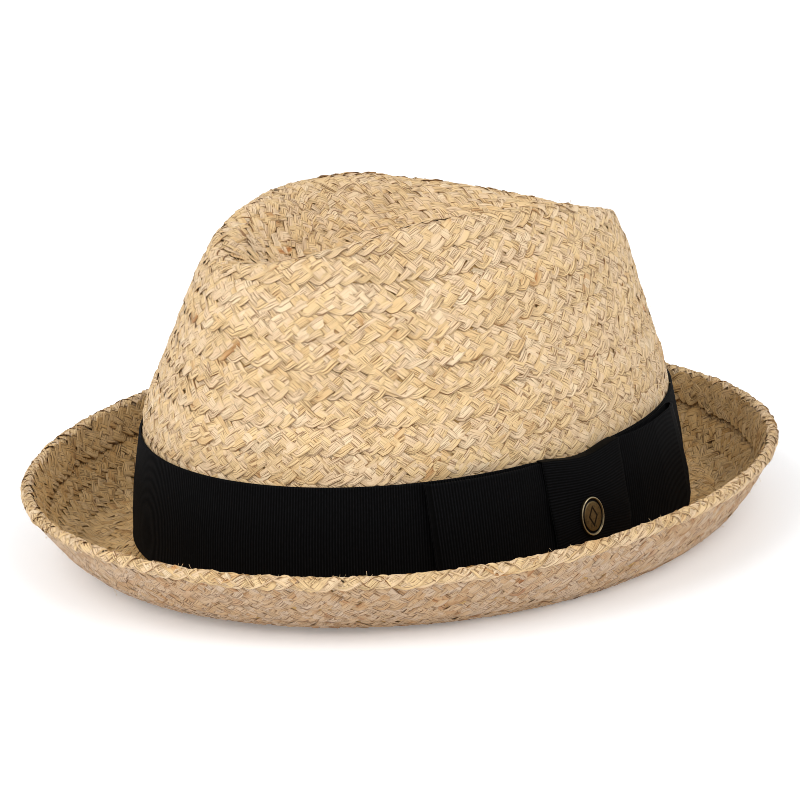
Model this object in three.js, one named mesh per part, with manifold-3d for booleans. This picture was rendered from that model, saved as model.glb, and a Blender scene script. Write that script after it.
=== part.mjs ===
// A braided straw trilby, in millimetres, +Z up, standing on the underside of its brim.
// The hat's front points along -Y and the wearer's left is +X.
// The origin is on the surface it stands on, under the middle of the brim.
//
// Every point of the straw is found on a meridian: the section through the hat at one angle round it.
// A meridian starts at the brim's edge, runs down to the crown's foot, up the crown's side,
// over the ridge of the dented top, and ends at the middle of the dent.
// The band, the bow, the knot and the badge take their places from the same meridians.

import * as THREE from "three";
import { mergeVertices } from "three/addons/utils/BufferGeometryUtils.js";
import Module from "manifold-3d";

const wasm = await Module();
wasm.setup();

// Straw: one spiral of flat braid, sewn row on row from the crown's middle to the brim's edge
const strawWall = 2.4;
const brimEdgeWall = 3.6; // the last row is sewn double
const brimLength = 267; // between the upper edges of the brim, front to back
const brimWidth = 238.5; // the same, side to side
const brimRise = 26; // the brim's edge above the table
const pressedFlat = 0.25; // the lowest part of the underside is flat where the hat rests
const ovalLength = 204; // the crown's foot, outside, front to back
const ovalWidth = 172;
const ovalBack = 3.5; // how far the crown's foot sits behind the middle of the brim
const crownHeight = 117; // the highest part of the ridge above the table
const crownForward = 4; // how far the crown's top sits in front of its foot
const ridgeLean = 4; // how much higher the ridge is on the wearer's left, and lower on the right
const dentFloor = 86; // the middle of the dent above the table
const pinchDepth = 5; // the hollow under the ridge, either side of the front

// Grosgrain ribbon
const ribbonWidth = 37;
const ribbonThickness = 0.9;
const ribbonFoot = 6; // the ribbon's lower edge above the table
const ribbonTaper = 4.5; // how far the crown draws in over the ribbon's width
const footFlare = 0.8; // how far the crown draws in over the lowest part of that
const flareShare = 0.35; // the lowest part, as a share of the ribbon's width
const pieceGap = 0.3; // clearance between pieces that lie on each other

// Flat bow on the wearer's left: one flattened loop of ribbon with a knot round its middle
const bowAngle = 90.5; // degrees round from the front
const bowLength = 118;
const bowPuff = 2.4; // the loop's own hollow, at its fullest
const knotWidth = 35;
const knotPuff = 1.8; // how far the middle of the knot stands off the loop
const knotEdgePuff = 0.4; // the same at the knot's edges, as a share of that
const knotTuck = 2.8; // how far the ribbon's top edge is drawn in at the knot
const knotTuckBelow = 3.5; // the same for its lower edge
const gatherReach = 0.6; // how far the gather reaches from the knot's middle, as a share of its width

// Badge: an oval stamped pin on the knot
const badgeHeight = 13.2;
const badgeWidth = 10;
const badgeThickness = 1.2;
const badgeRim = 0.9; // width of the raised rim
const badgeGroove = 0.8; // width of the dark groove inside the rim
const badgeRelief = 0.4; // depth of the groove and of the mark
const badgeMarkHeight = 5.6; // a plain lozenge, sunk in the middle
const badgeMarkWidth = 3.2;
const badgeAcross = -1.5; // from the middle of the knot, towards the front
const badgeUp = 0.4; // the badge's middle, as a share of the ribbon's width
const postRadius = 0.6;
const postFootRadius = 1.5;

// How finely the pieces are divided
const anglesRound = 56;
const stepsPerStretch = 2;
const stepsUpRibbon = 4;
const stepsAcrossKnot = 6;
const stepsAlongLoop = 7;
const badgeSides = 32;
const postSides = 10;

// The form of the straw at angles round from the front, the same on both sides.
// ridgeReach is a share of the foot oval's radius there and ridge a share of crownHeight.
// pinch is a share of pinchDepth, and swells the side where it is negative.
// floor is the height of the dent halfway out, as a share of dentFloor.
// brim is the height of its edge and lift that of its lowest part, as shares of brimRise.
const formByAngle = [
  { angle: 0, ridgeReach: 0.68, ridge: 0.925, pinch: -0.5, floor: 1.0, brim: 1.03, lift: 0.06 },
  { angle: 30, ridgeReach: 0.61, ridge: 0.965, pinch: -0.1, floor: 1.02, brim: 1.0, lift: 0.05 },
  { angle: 60, ridgeReach: 0.56, ridge: 1.0, pinch: 0.55, floor: 1.05, brim: 0.99, lift: 0.01 },
  { angle: 90, ridgeReach: 0.615, ridge: 1.0, pinch: 0.5, floor: 1.06, brim: 1.04, lift: 0.0 },
  { angle: 120, ridgeReach: 0.67, ridge: 0.975, pinch: 0.1, floor: 1.05, brim: 1.05, lift: 0.0 },
  { angle: 150, ridgeReach: 0.785, ridge: 0.885, pinch: -0.2, floor: 1.03, brim: 0.98, lift: 0.0 },
  { angle: 180, ridgeReach: 0.87, ridge: 0.81, pinch: -0.4, floor: 1.02, brim: 0.92, lift: 0.0 },
];

// The brim from its edge inwards: shares of the way out from the crown's foot, and of its rise
const brimSection = [
  { out: 1.0, up: 1.0 },
  { out: 0.87, up: 0.6 },
  { out: 0.66, up: 0.22 },
  { out: 0.44, up: 0.0 },
  { out: 0.24, up: 0.0 },
  { out: 0.07, up: 0.04 },
];

// The crown's side above the ribbon: shares of the way in to the ridge and up to it, and of the pinch
const sideSection = [
  { in: 0.05, up: 0.13, pinch: 0.0 },
  { in: 0.24, up: 0.32, pinch: 0.1 },
  { in: 0.5, up: 0.58, pinch: 0.5 },
  { in: 0.74, up: 0.81, pinch: 0.9 },
  { in: 0.88, up: 0.93, pinch: 0.4 },
];

// The dented top from the ridge inwards: shares of the way to the middle and of the way down to the floor
const topSection = [
  { in: 0.13, down: 0.05 },
  { in: 0.3, down: 0.4 },
  { in: 0.5, down: 0.84 },
  { in: 0.72, down: 1.0 },
];

// The bow's loop from the knot's edge to its folded end: shares of that length, and how full the loop is
const loopSection = [
  { out: 0.0, full: 0.0 },
  { out: 0.2, full: 0.7 },
  { out: 0.5, full: 1.0 },
  { out: 0.85, full: 0.85 },
  { out: 1.0, full: 0.4 },
];

const radians = THREE.MathUtils.degToRad;
const lerp = THREE.MathUtils.lerp;

// A column of the form table at any angle, in a smooth curve through its rows
function formAt(column, angle) {
  const last = formByAngle.length - 1;
  const place = THREE.MathUtils.euclideanModulo(angle, 360) / (180 / last);
  const row = (i) => {
    const k = THREE.MathUtils.euclideanModulo(i, 2 * last);
    return formByAngle[Math.min(k, 2 * last - k)][column];
  };
  const i = Math.floor(place);
  const t = place - i;
  const [a, b, c, d] = [row(i - 1), row(i), row(i + 1), row(i + 2)];
  return b + 0.5 * t * (c - a + t * (2 * a - 5 * b + 4 * c - d + t * (3 * (b - c) + d - a)));
}

// The radius of an oval at an angle round its middle
function ovalRadius(length, width, angle) {
  return 1 / Math.hypot(Math.cos(radians(angle)) / (length / 2), Math.sin(radians(angle)) / (width / 2));
}

// The meridian at one angle, as a curve of points: radius, place of its centre along Y, height
function meridianAt(angle) {
  const foot = ovalRadius(ovalLength, ovalWidth, angle);
  const edge = ovalRadius(brimLength, brimWidth, angle);
  const rise = brimRise * formAt("brim", angle);
  const lowest = strawWall + brimRise * Math.max(0, formAt("lift", angle));
  const points = brimSection.map(
    (row) =>
      new THREE.Vector3(
        lerp(foot, edge, row.out),
        lerp(ovalBack, 0, row.out),
        lerp(lowest, rise, row.up),
      ),
  );
  const footIndex = points.length;
  const ribbonTop = ribbonFoot + ribbonWidth;
  points.push(new THREE.Vector3(foot, ovalBack, ribbonFoot));
  points.push(new THREE.Vector3(foot - footFlare, ovalBack, ribbonFoot + ribbonWidth * flareShare));
  points.push(new THREE.Vector3(foot - ribbonTaper, ovalBack, ribbonTop));

  const ridgeHeight = crownHeight * formAt("ridge", angle) + ridgeLean * Math.sin(radians(angle));
  const ridgeRadius = foot * formAt("ridgeReach", angle);
  const pinch = pinchDepth * formAt("pinch", angle);
  const topBack = ovalBack - crownForward;
  for (const row of sideSection)
    points.push(
      new THREE.Vector3(
        lerp(foot - ribbonTaper, ridgeRadius, row.in) - pinch * row.pinch,
        lerp(ovalBack, topBack, row.up),
        lerp(ribbonTop, ridgeHeight, row.up),
      ),
    );
  points.push(new THREE.Vector3(ridgeRadius, topBack, ridgeHeight));
  const floor = dentFloor * formAt("floor", angle);
  for (const row of topSection)
    points.push(
      new THREE.Vector3(ridgeRadius * (1 - row.in), topBack, lerp(ridgeHeight, floor, row.down)),
    );
  points.push(new THREE.Vector3(0, topBack, dentFloor));
  return {
    angle,
    curve: new THREE.CatmullRomCurve3(points, false, "centripetal"),
    stretches: points.length - 1,
    footIndex,
  };
}

// A point at a radius and height in the plane of a meridian, with the place of its centre along Y
function pointAt(meridian, radius, centre, height) {
  const a = radians(meridian.angle);
  return new THREE.Vector3(radius * Math.sin(a), centre - radius * Math.cos(a), height);
}

// A point of a meridian, counted in its curve's stretches, moved off the straw's outer face by a distance
function pointOnStraw(meridian, place, off) {
  const p = meridian.curve.getPoint(place / meridian.stretches);
  const tangent = meridian.curve.getTangent(place / meridian.stretches);
  const length = Math.hypot(tangent.x, tangent.z);
  const radius = Math.max(0, p.x + (off * tangent.z) / length);
  return pointAt(meridian, radius, p.y, p.z - (off * tangent.x) / length);
}

// The same by the ribbon's width: up is 0 at its lower edge and 1 at its top edge.
// Here off is square to the ribbon's own slope, so that layers over the bend at its foot stay level.
function pointOnRibbon(meridian, up, off) {
  const place = up < flareShare ? up / flareShare : 1 + (up - flareShare) / (1 - flareShare);
  const p = meridian.curve.getPoint((meridian.footIndex + place) / meridian.stretches);
  const length = Math.hypot(ribbonWidth, ribbonTaper);
  const radius = p.x + (off * ribbonWidth) / length;
  return pointAt(meridian, radius, p.y, p.z + (off * ribbonTaper) / length);
}

// The angle at a distance round the crown's foot from the bow's middle
function angleAlong(along) {
  return bowAngle + THREE.MathUtils.radToDeg(along / ovalRadius(ovalLength, ovalWidth, bowAngle));
}

// How much the knot gathers the ribbons under it: 1 at its middle, 0 well clear of it
function gatherAt(angle) {
  const along = radians(angle - bowAngle) * ovalRadius(ovalLength, ovalWidth, bowAngle);
  return Math.cos((Math.PI / 2) * Math.min(1, Math.abs(along) / (knotWidth * gatherReach))) ** 2;
}

// The edges of the ribbons at an angle, as shares of the ribbon's width
function ribbonEdges(angle, spare) {
  const low = (knotTuckBelow * gatherAt(angle) - spare) / ribbonWidth;
  const high = 1 - (knotTuck * gatherAt(angle) - spare) / ribbonWidth;
  return { low, high };
}

function geometryOf(points, triangles) {
  const geometry = new THREE.BufferGeometry();
  geometry.setAttribute(
    "position",
    new THREE.Float32BufferAttribute(points.flatMap((p) => p.toArray()), 3),
  );
  geometry.setIndex(triangles);
  return geometry;
}

// The two triangles of each cell between neighbouring rings of points
function wallBetween(rings, ringCount, index) {
  const around = rings[0].length;
  const triangles = [];
  for (let i = 0; i < ringCount; i++)
    for (let j = 0; j < around; j++) {
      triangles.push(index(i, j), index(i + 1, j), index(i + 1, j + 1));
      triangles.push(index(i, j), index(i + 1, j + 1), index(i, j + 1));
    }
  return triangles;
}

// A closed skin over rings of points that come round to the first ring again
function loopSkin(rings) {
  const around = rings[0].length;
  const index = (i, j) => (i % rings.length) * around + (j % around);
  return geometryOf(rings.flat(), wallBetween(rings, rings.length, index));
}

// A closed skin over rings of points, shut by a single point at either end
function poledSkin(rings, first, last) {
  const around = rings[0].length;
  const index = (i, j) => i * around + (j % around);
  const triangles = wallBetween(rings, rings.length - 1, index);
  const firstIndex = rings.length * around;
  for (let j = 0; j < around; j++) {
    triangles.push(firstIndex, index(0, j), index(0, j + 1));
    triangles.push(firstIndex + 1, index(rings.length - 1, j + 1), index(rings.length - 1, j));
  }
  return geometryOf([...rings.flat(), first, last], triangles);
}

// A closed skin over rings that run up one face of a strip and back down its other face, shut at both ends
function stripSkin(rings) {
  const around = rings[0].length;
  const index = (i, j) => i * around + (j % around);
  const triangles = wallBetween(rings, rings.length - 1, index);
  const end = rings.length - 1;
  for (let j = 0; j < around / 2 - 1; j++) {
    const back = around - 1 - j;
    triangles.push(index(0, j), index(0, j + 1), index(0, back - 1));
    triangles.push(index(0, j), index(0, back - 1), index(0, back));
    triangles.push(index(end, j), index(end, back - 1), index(end, j + 1));
    triangles.push(index(end, j), index(end, back), index(end, back - 1));
  }
  return geometryOf(rings.flat(), triangles);
}

// A merged copy of a closed geometry as a solid that can be cut, and back again
function solidOf(geometry) {
  const bare = geometry.clone();
  bare.deleteAttribute("normal");
  bare.deleteAttribute("uv");
  const merged = mergeVertices(bare);
  const vertProperties = new Float32Array(merged.attributes.position.array);
  const triVerts = new Uint32Array(merged.index.array);
  return new wasm.Manifold(new wasm.Mesh({ numProp: 3, vertProperties, triVerts }));
}

function geometryFrom(solid) {
  const { vertProperties, triVerts } = solid.getMesh();
  const geometry = new THREE.BufferGeometry();
  geometry.setAttribute("position", new THREE.Float32BufferAttribute(vertProperties, 3));
  geometry.setIndex(Array.from(triVerts));
  return geometry;
}

const angles = Array.from({ length: anglesRound }, (_, k) => (k * 360) / anglesRound);
const meridians = angles.map(meridianAt);

// The crown and brim: the outer face from the dent's middle to the brim's edge, and back along the inner face
function crownAndBrim() {
  const steps = meridians[0].stretches * stepsPerStretch;
  const ringAt = (place, off) => meridians.map((meridian) => pointOnStraw(meridian, place, off));
  const wallAt = (place) => lerp(brimEdgeWall, strawWall, Math.min(1, place));
  const rings = [];
  for (let k = steps - 1; k >= 0; k--) rings.push(ringAt(k / stepsPerStretch, 0));
  for (let k = 0; k < steps; k++) {
    const place = k / stepsPerStretch;
    rings.push(ringAt(place, -wallAt(place)));
  }
  for (const point of rings.flat()) if (point.z < pressedFlat) point.z = 0;
  const middle = new THREE.Vector3(0, ovalBack - crownForward, dentFloor);
  const under = middle.clone().setZ(dentFloor - strawWall);
  return poledSkin(rings, middle, under);
}

// The shares from 0 to 1 at the ends of equal steps
function sharesOf(steps) {
  return Array.from({ length: steps + 1 }, (_, k) => k / steps);
}

// The band: a wall of ribbon on the straw's face, drawn in a little under the knot
function hatBand() {
  const shares = sharesOf(stepsUpRibbon);
  return loopSkin(
    meridians.map((meridian) => {
      const { low, high } = ribbonEdges(meridian.angle, 0);
      const faceAt = (share, off) => pointOnRibbon(meridian, lerp(low, high, share), off);
      return [
        ...shares.map((share) => faceAt(share, pieceGap + ribbonThickness)),
        ...shares.toReversed().map((share) => faceAt(share, pieceGap)),
      ];
    }),
  );
}

// How far off the straw the bow's under layer starts
const bowSeat = 2 * pieceGap + ribbonThickness;

// How full the bow's loop is at a distance from its middle
function fullnessAt(along) {
  const out = (Math.abs(along) - knotWidth / 2) / (bowLength / 2 - knotWidth / 2);
  const next = loopSection.findIndex((row) => row.out >= out);
  if (next <= 0) return next < 0 ? loopSection.at(-1).full : 0;
  const [from, to] = [loopSection[next - 1], loopSection[next]];
  return THREE.MathUtils.mapLinear(out, from.out, to.out, from.full, to.full);
}

// The loop of the bow: an upper and an under layer of ribbon, folded into each other at both ends
function bowLoop() {
  const shares = sharesOf(stepsUpRibbon);
  const half = bowLength / 2;
  const straight = half - 2 * ribbonThickness;
  const gathered = sharesOf(stepsAcrossKnot).map((share) => knotWidth * (share - 0.5));
  const free = sharesOf(stepsAlongLoop).slice(1).map((share) => lerp(knotWidth / 2, straight, share));
  const across = [...free.toReversed().map((along) => -along), ...gathered, ...free];
  const topOf = (along) => bowSeat + 2 * ribbonThickness + pieceGap + bowPuff * fullnessAt(along);
  const fold = (bowSeat + topOf(straight)) / 2;
  // Each place on the loop's path has a point on the ribbon's outer face and one on its inner face
  const upper = across.map((along) => ({
    outer: { along, off: topOf(along) },
    inner: { along, off: topOf(along) - ribbonThickness },
  }));
  const under = across.toReversed().map((along) => ({
    outer: { along, off: bowSeat },
    inner: { along, off: bowSeat + ribbonThickness },
  }));
  const foldAt = (side) => ({
    outer: { along: side * half, off: fold },
    inner: { along: side * (half - ribbonThickness), off: fold },
  });
  const path = [...upper, foldAt(1), ...under, foldAt(-1)];
  return loopSkin(
    path.map(({ outer, inner }) => {
      const faceAt = (share, { along, off }) => {
        const angle = angleAlong(along);
        const { low, high } = ribbonEdges(angle, 0);
        return pointOnRibbon(meridianAt(angle), lerp(low, high, share), off);
      };
      return [
        ...shares.map((share) => faceAt(share, outer)),
        ...shares.toReversed().map((share) => faceAt(share, inner)),
      ];
    }),
  );
}

// How far off the straw the inner face of the knot is, at a share of the way across and up it
function knotSeat(across, up) {
  const bowTop = bowSeat + 2 * ribbonThickness + pieceGap;
  const round = Math.cos((across - 0.5) * Math.PI) * Math.sin(up * Math.PI);
  return bowTop + pieceGap + knotPuff * lerp(knotEdgePuff, 1, round);
}

// The knot: a strap of ribbon over the bow's middle, with its ends turned in above and below the bow
function bowKnot() {
  const shares = sharesOf(stepsUpRibbon);
  const rings = [];
  for (const across of sharesOf(stepsAcrossKnot)) {
    const angle = angleAlong((across - 0.5) * knotWidth);
    const meridian = meridianAt(angle);
    const inner = ribbonEdges(angle, pieceGap);
    const outer = ribbonEdges(angle, pieceGap + ribbonThickness);
    const innerAt = (share, off) => pointOnRibbon(meridian, lerp(inner.low, inner.high, share), off);
    const outerAt = (share, off) => pointOnRibbon(meridian, lerp(outer.low, outer.high, share), off);
    rings.push([
      outerAt(0, pieceGap),
      ...shares.map((share) => outerAt(share, knotSeat(across, share) + ribbonThickness)),
      outerAt(1, pieceGap),
      innerAt(1, pieceGap),
      ...shares.toReversed().map((share) => innerAt(share, knotSeat(across, share))),
      innerAt(0, pieceGap),
    ]);
  }
  return stripSkin(rings);
}

// A point off the knot's outer face: along is from the bow's middle, up is a share of the ribbon's width
function pointOnKnot(along, up, off) {
  const seat = knotSeat(along / knotWidth + 0.5, up) + ribbonThickness;
  return pointOnRibbon(meridianAt(angleAlong(along)), up, seat + off);
}

// Where the badge sits: its middle over the knot's outer face, its face level with the knot's there
function badgePlace() {
  const [halfWidth, halfUp] = [badgeWidth / 2, badgeHeight / 2 / ribbonWidth];
  const side = pointOnKnot(badgeAcross + halfWidth, badgeUp, 0);
  side.sub(pointOnKnot(badgeAcross - halfWidth, badgeUp, 0)).normalize();
  const up = pointOnKnot(badgeAcross, badgeUp + halfUp, 0);
  up.sub(pointOnKnot(badgeAcross, badgeUp - halfUp, 0)).normalize();
  const face = new THREE.Vector3().crossVectors(side, up).normalize();
  up.crossVectors(face, side);
  const seat = pointOnKnot(badgeAcross, badgeUp, 0).addScaledVector(face, pieceGap);
  return new THREE.Matrix4().makeBasis(side, up, face).setPosition(seat);
}

// A round stem along the badge's own axis, its inner end first
function stem(radius, from, to) {
  const points = [
    new THREE.Vector2(0, from),
    new THREE.Vector2(radius, from),
    new THREE.Vector2(radius, to),
    new THREE.Vector2(0, to),
  ];
  return new THREE.LatheGeometry(points, postSides).rotateX(Math.PI / 2);
}

// The badge in its own frame: back at zero, face along Z, with a raised rim, a groove and a sunk lozenge.
// Its post goes through the knot and ends in a small foot behind it.
function badge() {
  const radius = badgeHeight / 2;
  const floor = badgeThickness - badgeRelief;
  const profile = [
    [0, 0],
    [radius, 0],
    [radius, badgeThickness - badgeRelief / 2],
    [radius - badgeRim / 4, badgeThickness],
    [radius - badgeRim, badgeThickness],
    [radius - badgeRim, floor],
    [radius - badgeRim - badgeGroove, floor],
    [radius - badgeRim - badgeGroove, badgeThickness],
    [0, badgeThickness],
  ].map(([r, z]) => new THREE.Vector2(r, z));
  const plate = new THREE.LatheGeometry(profile, badgeSides)
    .rotateX(Math.PI / 2)
    .scale(badgeWidth / badgeHeight, 1, 1);
  const lozenge = new THREE.Shape([
    new THREE.Vector2(0, -badgeMarkHeight / 2),
    new THREE.Vector2(badgeMarkWidth / 2, 0),
    new THREE.Vector2(0, badgeMarkHeight / 2),
    new THREE.Vector2(-badgeMarkWidth / 2, 0),
  ]);
  const mark = new THREE.ExtrudeGeometry(lozenge, { depth: badgeThickness, bevelEnabled: false });
  mark.translate(0, 0, floor);
  const through = pieceGap + ribbonThickness + pieceGap;
  const post = stem(postRadius, -through - ribbonThickness / 2, badgeThickness / 2);
  const foot = stem(postFootRadius, -through - ribbonThickness / 2, -through);
  return geometryFrom(solidOf(plate).subtract(solidOf(mark)).add(solidOf(post)).add(solidOf(foot)));
}

// The hole that the badge's post leaves in the knot
function postHole() {
  const reach = 2 * (pieceGap + ribbonThickness);
  return stem(postRadius + pieceGap, -reach, reach).applyMatrix4(badgePlace());
}

const straw = new THREE.MeshStandardMaterial({ color: 0xdcc08c, roughness: 0.75, metalness: 0 });
const grosgrain = new THREE.MeshStandardMaterial({ color: 0x0b0b0d, roughness: 0.7, metalness: 0 });
const brass = new THREE.MeshStandardMaterial({ color: 0x8b7b58, roughness: 0.4, metalness: 1 });

function part(name, geometry, material) {
  const mesh = new THREE.Mesh(geometry, material);
  mesh.name = name;
  return mesh;
}

const hat = new THREE.Group();
hat.add(part("crown_and_brim", crownAndBrim(), straw));
hat.add(part("hat_band", hatBand(), grosgrain));
hat.add(part("bow_loop", bowLoop(), grosgrain));
hat.add(part("bow_knot", geometryFrom(solidOf(bowKnot()).subtract(solidOf(postHole()))), grosgrain));
const pin = part("badge_pin", badge(), brass);
badgePlace().decompose(pin.position, pin.quaternion, pin.scale);
hat.add(pin);

export default hat;
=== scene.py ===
# %% [markdown]
# # A braided straw trilby
#
# The hat is one spiral of flat plaited straw, sewn row on row and pressed into a dented
# crown and a turned-up brim. A black grosgrain band and a flat bow go round the crown, and
# a small oval badge is pinned to the bow's knot.
#
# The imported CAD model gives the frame. Its solids say where everything is, and the pieces
# made here take their places, in the same metres and the same axes: the front is -Y, the
# wearer's left is +X, and the hat stands on the underside of its brim.

# %% The frame
import math

import bpy
import numpy as np
from mathutils import Matrix, Vector


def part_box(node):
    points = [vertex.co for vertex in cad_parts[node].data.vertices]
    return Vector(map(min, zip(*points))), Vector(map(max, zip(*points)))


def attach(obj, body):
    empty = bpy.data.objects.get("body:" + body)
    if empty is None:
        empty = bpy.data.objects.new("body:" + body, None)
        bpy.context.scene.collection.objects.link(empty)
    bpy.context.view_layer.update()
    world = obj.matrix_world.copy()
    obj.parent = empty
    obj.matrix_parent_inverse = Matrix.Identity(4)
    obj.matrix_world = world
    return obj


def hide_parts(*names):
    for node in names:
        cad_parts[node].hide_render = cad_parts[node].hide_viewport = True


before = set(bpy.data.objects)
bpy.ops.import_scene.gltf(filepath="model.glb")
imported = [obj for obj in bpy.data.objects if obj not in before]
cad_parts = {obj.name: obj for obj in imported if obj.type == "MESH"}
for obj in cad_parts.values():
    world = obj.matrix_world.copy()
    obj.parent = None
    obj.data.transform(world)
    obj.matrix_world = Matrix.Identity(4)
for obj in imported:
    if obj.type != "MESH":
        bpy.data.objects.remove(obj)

for start_up in ("Cube", "Light", "Camera"):
    if start_up in bpy.data.objects:
        bpy.data.objects.remove(bpy.data.objects[start_up])
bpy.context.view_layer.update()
MM = 0.001


# %% Helpers for objects and meshes
def in_scene(name, data):
    """A new object in the scene, at the origin, for a mesh, a light or a camera."""
    made = bpy.data.objects.new(name, data)
    bpy.context.scene.collection.objects.link(made)
    return made


def store(mesh, name, values):
    """Keeps a number or a vector for each point of a mesh, as a named attribute."""
    kind, field = ("FLOAT", "value") if values.ndim == 1 else ("FLOAT_VECTOR", "vector")
    mesh.attributes.new(name, kind, "POINT").data.foreach_set(field, values.ravel().astype(np.float32))


def count(made):
    print(made.name, sum(len(p.vertices) - 2 for p in made.data.polygons), "triangles")


# %% [markdown]
# ## The form of the hat
#
# Straw braid has no outline of its own: it follows the block that the hat was pressed on.
# So the block comes first. It is a set of meridians, the sections through the hat at each
# angle round it, and the tables repeat the ones that the CAD solids were made from. All of
# the straw, the ribbons and the badge are then placed by asking this form for a point.

# %% Sizes of the form, in millimetres
STRAW_WALL = 2.4
BRIM_EDGE_WALL = 3.6
BRIM_LENGTH = 267
BRIM_WIDTH = 238.5
BRIM_RISE = 26
OVAL_LENGTH = 204
OVAL_WIDTH = 172
OVAL_BACK = 3.5
CROWN_HEIGHT = 117
CROWN_FORWARD = 4
RIDGE_LEAN = 4
DENT_FLOOR = 86
PINCH_DEPTH = 5
RIBBON_WIDTH = 37
RIBBON_THICKNESS = 0.9
RIBBON_FOOT = 6
RIBBON_TAPER = 4.5
FOOT_FLARE = 0.8
FLARE_SHARE = 0.35
PIECE_GAP = 0.3
print("brim", BRIM_LENGTH, "by", BRIM_WIDTH, "mm, crown", CROWN_HEIGHT, "mm high")

# Columns: angle from the front, ridge reach, ridge height, pinch, dent floor, brim height, lift
FORM_BY_ANGLE = [
    (0, 0.68, 0.925, -0.5, 1.0, 1.03, 0.06),
    (30, 0.61, 0.965, -0.1, 1.02, 1.0, 0.05),
    (60, 0.56, 1.0, 0.55, 1.05, 0.99, 0.01),
    (90, 0.615, 1.0, 0.5, 1.06, 1.04, 0.0),
    (120, 0.67, 0.975, 0.1, 1.05, 1.05, 0.0),
    (150, 0.785, 0.885, -0.2, 1.03, 0.98, 0.0),
    (180, 0.87, 0.81, -0.4, 1.02, 0.92, 0.0),
]
REACH, RIDGE, PINCH, FLOOR, BRIM, LIFT = range(1, 7)

# Columns: share of the way out along the brim, share of its rise
BRIM_SECTION = [(1.0, 1.0), (0.87, 0.6), (0.66, 0.22), (0.44, 0.0), (0.24, 0.0), (0.07, 0.04)]
# Columns: shares of the way in to the ridge and up to it, and of the pinch
SIDE_SECTION = [(0.05, 0.13, 0.0), (0.24, 0.32, 0.1), (0.5, 0.58, 0.5), (0.74, 0.81, 0.9), (0.88, 0.93, 0.4)]
# Columns: shares of the way in to the middle of the dent and down to its floor
TOP_SECTION = [(0.13, 0.05), (0.3, 0.4), (0.5, 0.84), (0.72, 1.0)]

FOOT = len(BRIM_SECTION)  # the point of a meridian at the ribbon's lower edge
RIBBON_TOP = FOOT + 2
RIDGE_POINT = RIBBON_TOP + len(SIDE_SECTION) + 1
TIP = RIDGE_POINT + len(TOP_SECTION) + 1  # the middle of the dent


# %% Meridians
def form_at(column, angle):
    """A column of the form table at each angle, mirrored past the back, in a smooth curve."""
    rows = np.array([row[column] for row in FORM_BY_ANGLE])
    last = len(rows) - 1
    place = np.mod(angle, 360) / (180 / last)
    first = np.floor(place).astype(int)
    t = place - first

    def row(i):
        k = np.mod(i, 2 * last)
        return rows[np.minimum(k, 2 * last - k)]

    a, b, c, d = (row(first + i) for i in (-1, 0, 1, 2))
    return b + 0.5 * t * (c - a + t * (2 * a - 5 * b + 4 * c - d + t * (3 * (b - c) + d - a)))


def oval_radius(length, width, angle):
    turn = np.radians(angle)
    return 1 / np.hypot(np.cos(turn) / (length / 2), np.sin(turn) / (width / 2))


def mix(a, b, share):
    return a + (b - a) * share


def meridian_points(angle):
    """The points of the meridian at each angle: radius, place of its centre along Y, height."""
    angle = np.asarray(angle, float)
    foot = oval_radius(OVAL_LENGTH, OVAL_WIDTH, angle)
    edge = oval_radius(BRIM_LENGTH, BRIM_WIDTH, angle)
    rise = BRIM_RISE * form_at(BRIM, angle)
    lowest = STRAW_WALL + BRIM_RISE * np.maximum(0, form_at(LIFT, angle))
    same = np.ones_like(angle)
    points = [
        (mix(foot, edge, out), mix(OVAL_BACK, 0, out) * same, mix(lowest, rise, up))
        for out, up in BRIM_SECTION
    ]
    top = RIBBON_FOOT + RIBBON_WIDTH
    points.append((foot, OVAL_BACK * same, RIBBON_FOOT * same))
    points.append((foot - FOOT_FLARE, OVAL_BACK * same, (RIBBON_FOOT + RIBBON_WIDTH * FLARE_SHARE) * same))
    points.append((foot - RIBBON_TAPER, OVAL_BACK * same, top * same))
    ridge = CROWN_HEIGHT * form_at(RIDGE, angle) + RIDGE_LEAN * np.sin(np.radians(angle))
    reach = foot * form_at(REACH, angle)
    pinch = PINCH_DEPTH * form_at(PINCH, angle)
    back = OVAL_BACK - CROWN_FORWARD
    for inwards, up, pinched in SIDE_SECTION:
        radius = mix(foot - RIBBON_TAPER, reach, inwards) - pinch * pinched
        points.append((radius, mix(OVAL_BACK, back, up) * same, mix(top, ridge, up)))
    points.append((reach, back * same, ridge))
    floor = DENT_FLOOR * form_at(FLOOR, angle)
    for inwards, down in TOP_SECTION:
        points.append((reach * (1 - inwards), back * same, mix(ridge, floor, down)))
    points.append((0 * same, back * same, DENT_FLOOR * same))
    return np.stack([np.stack(p, -1) for p in points], -2)


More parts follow.
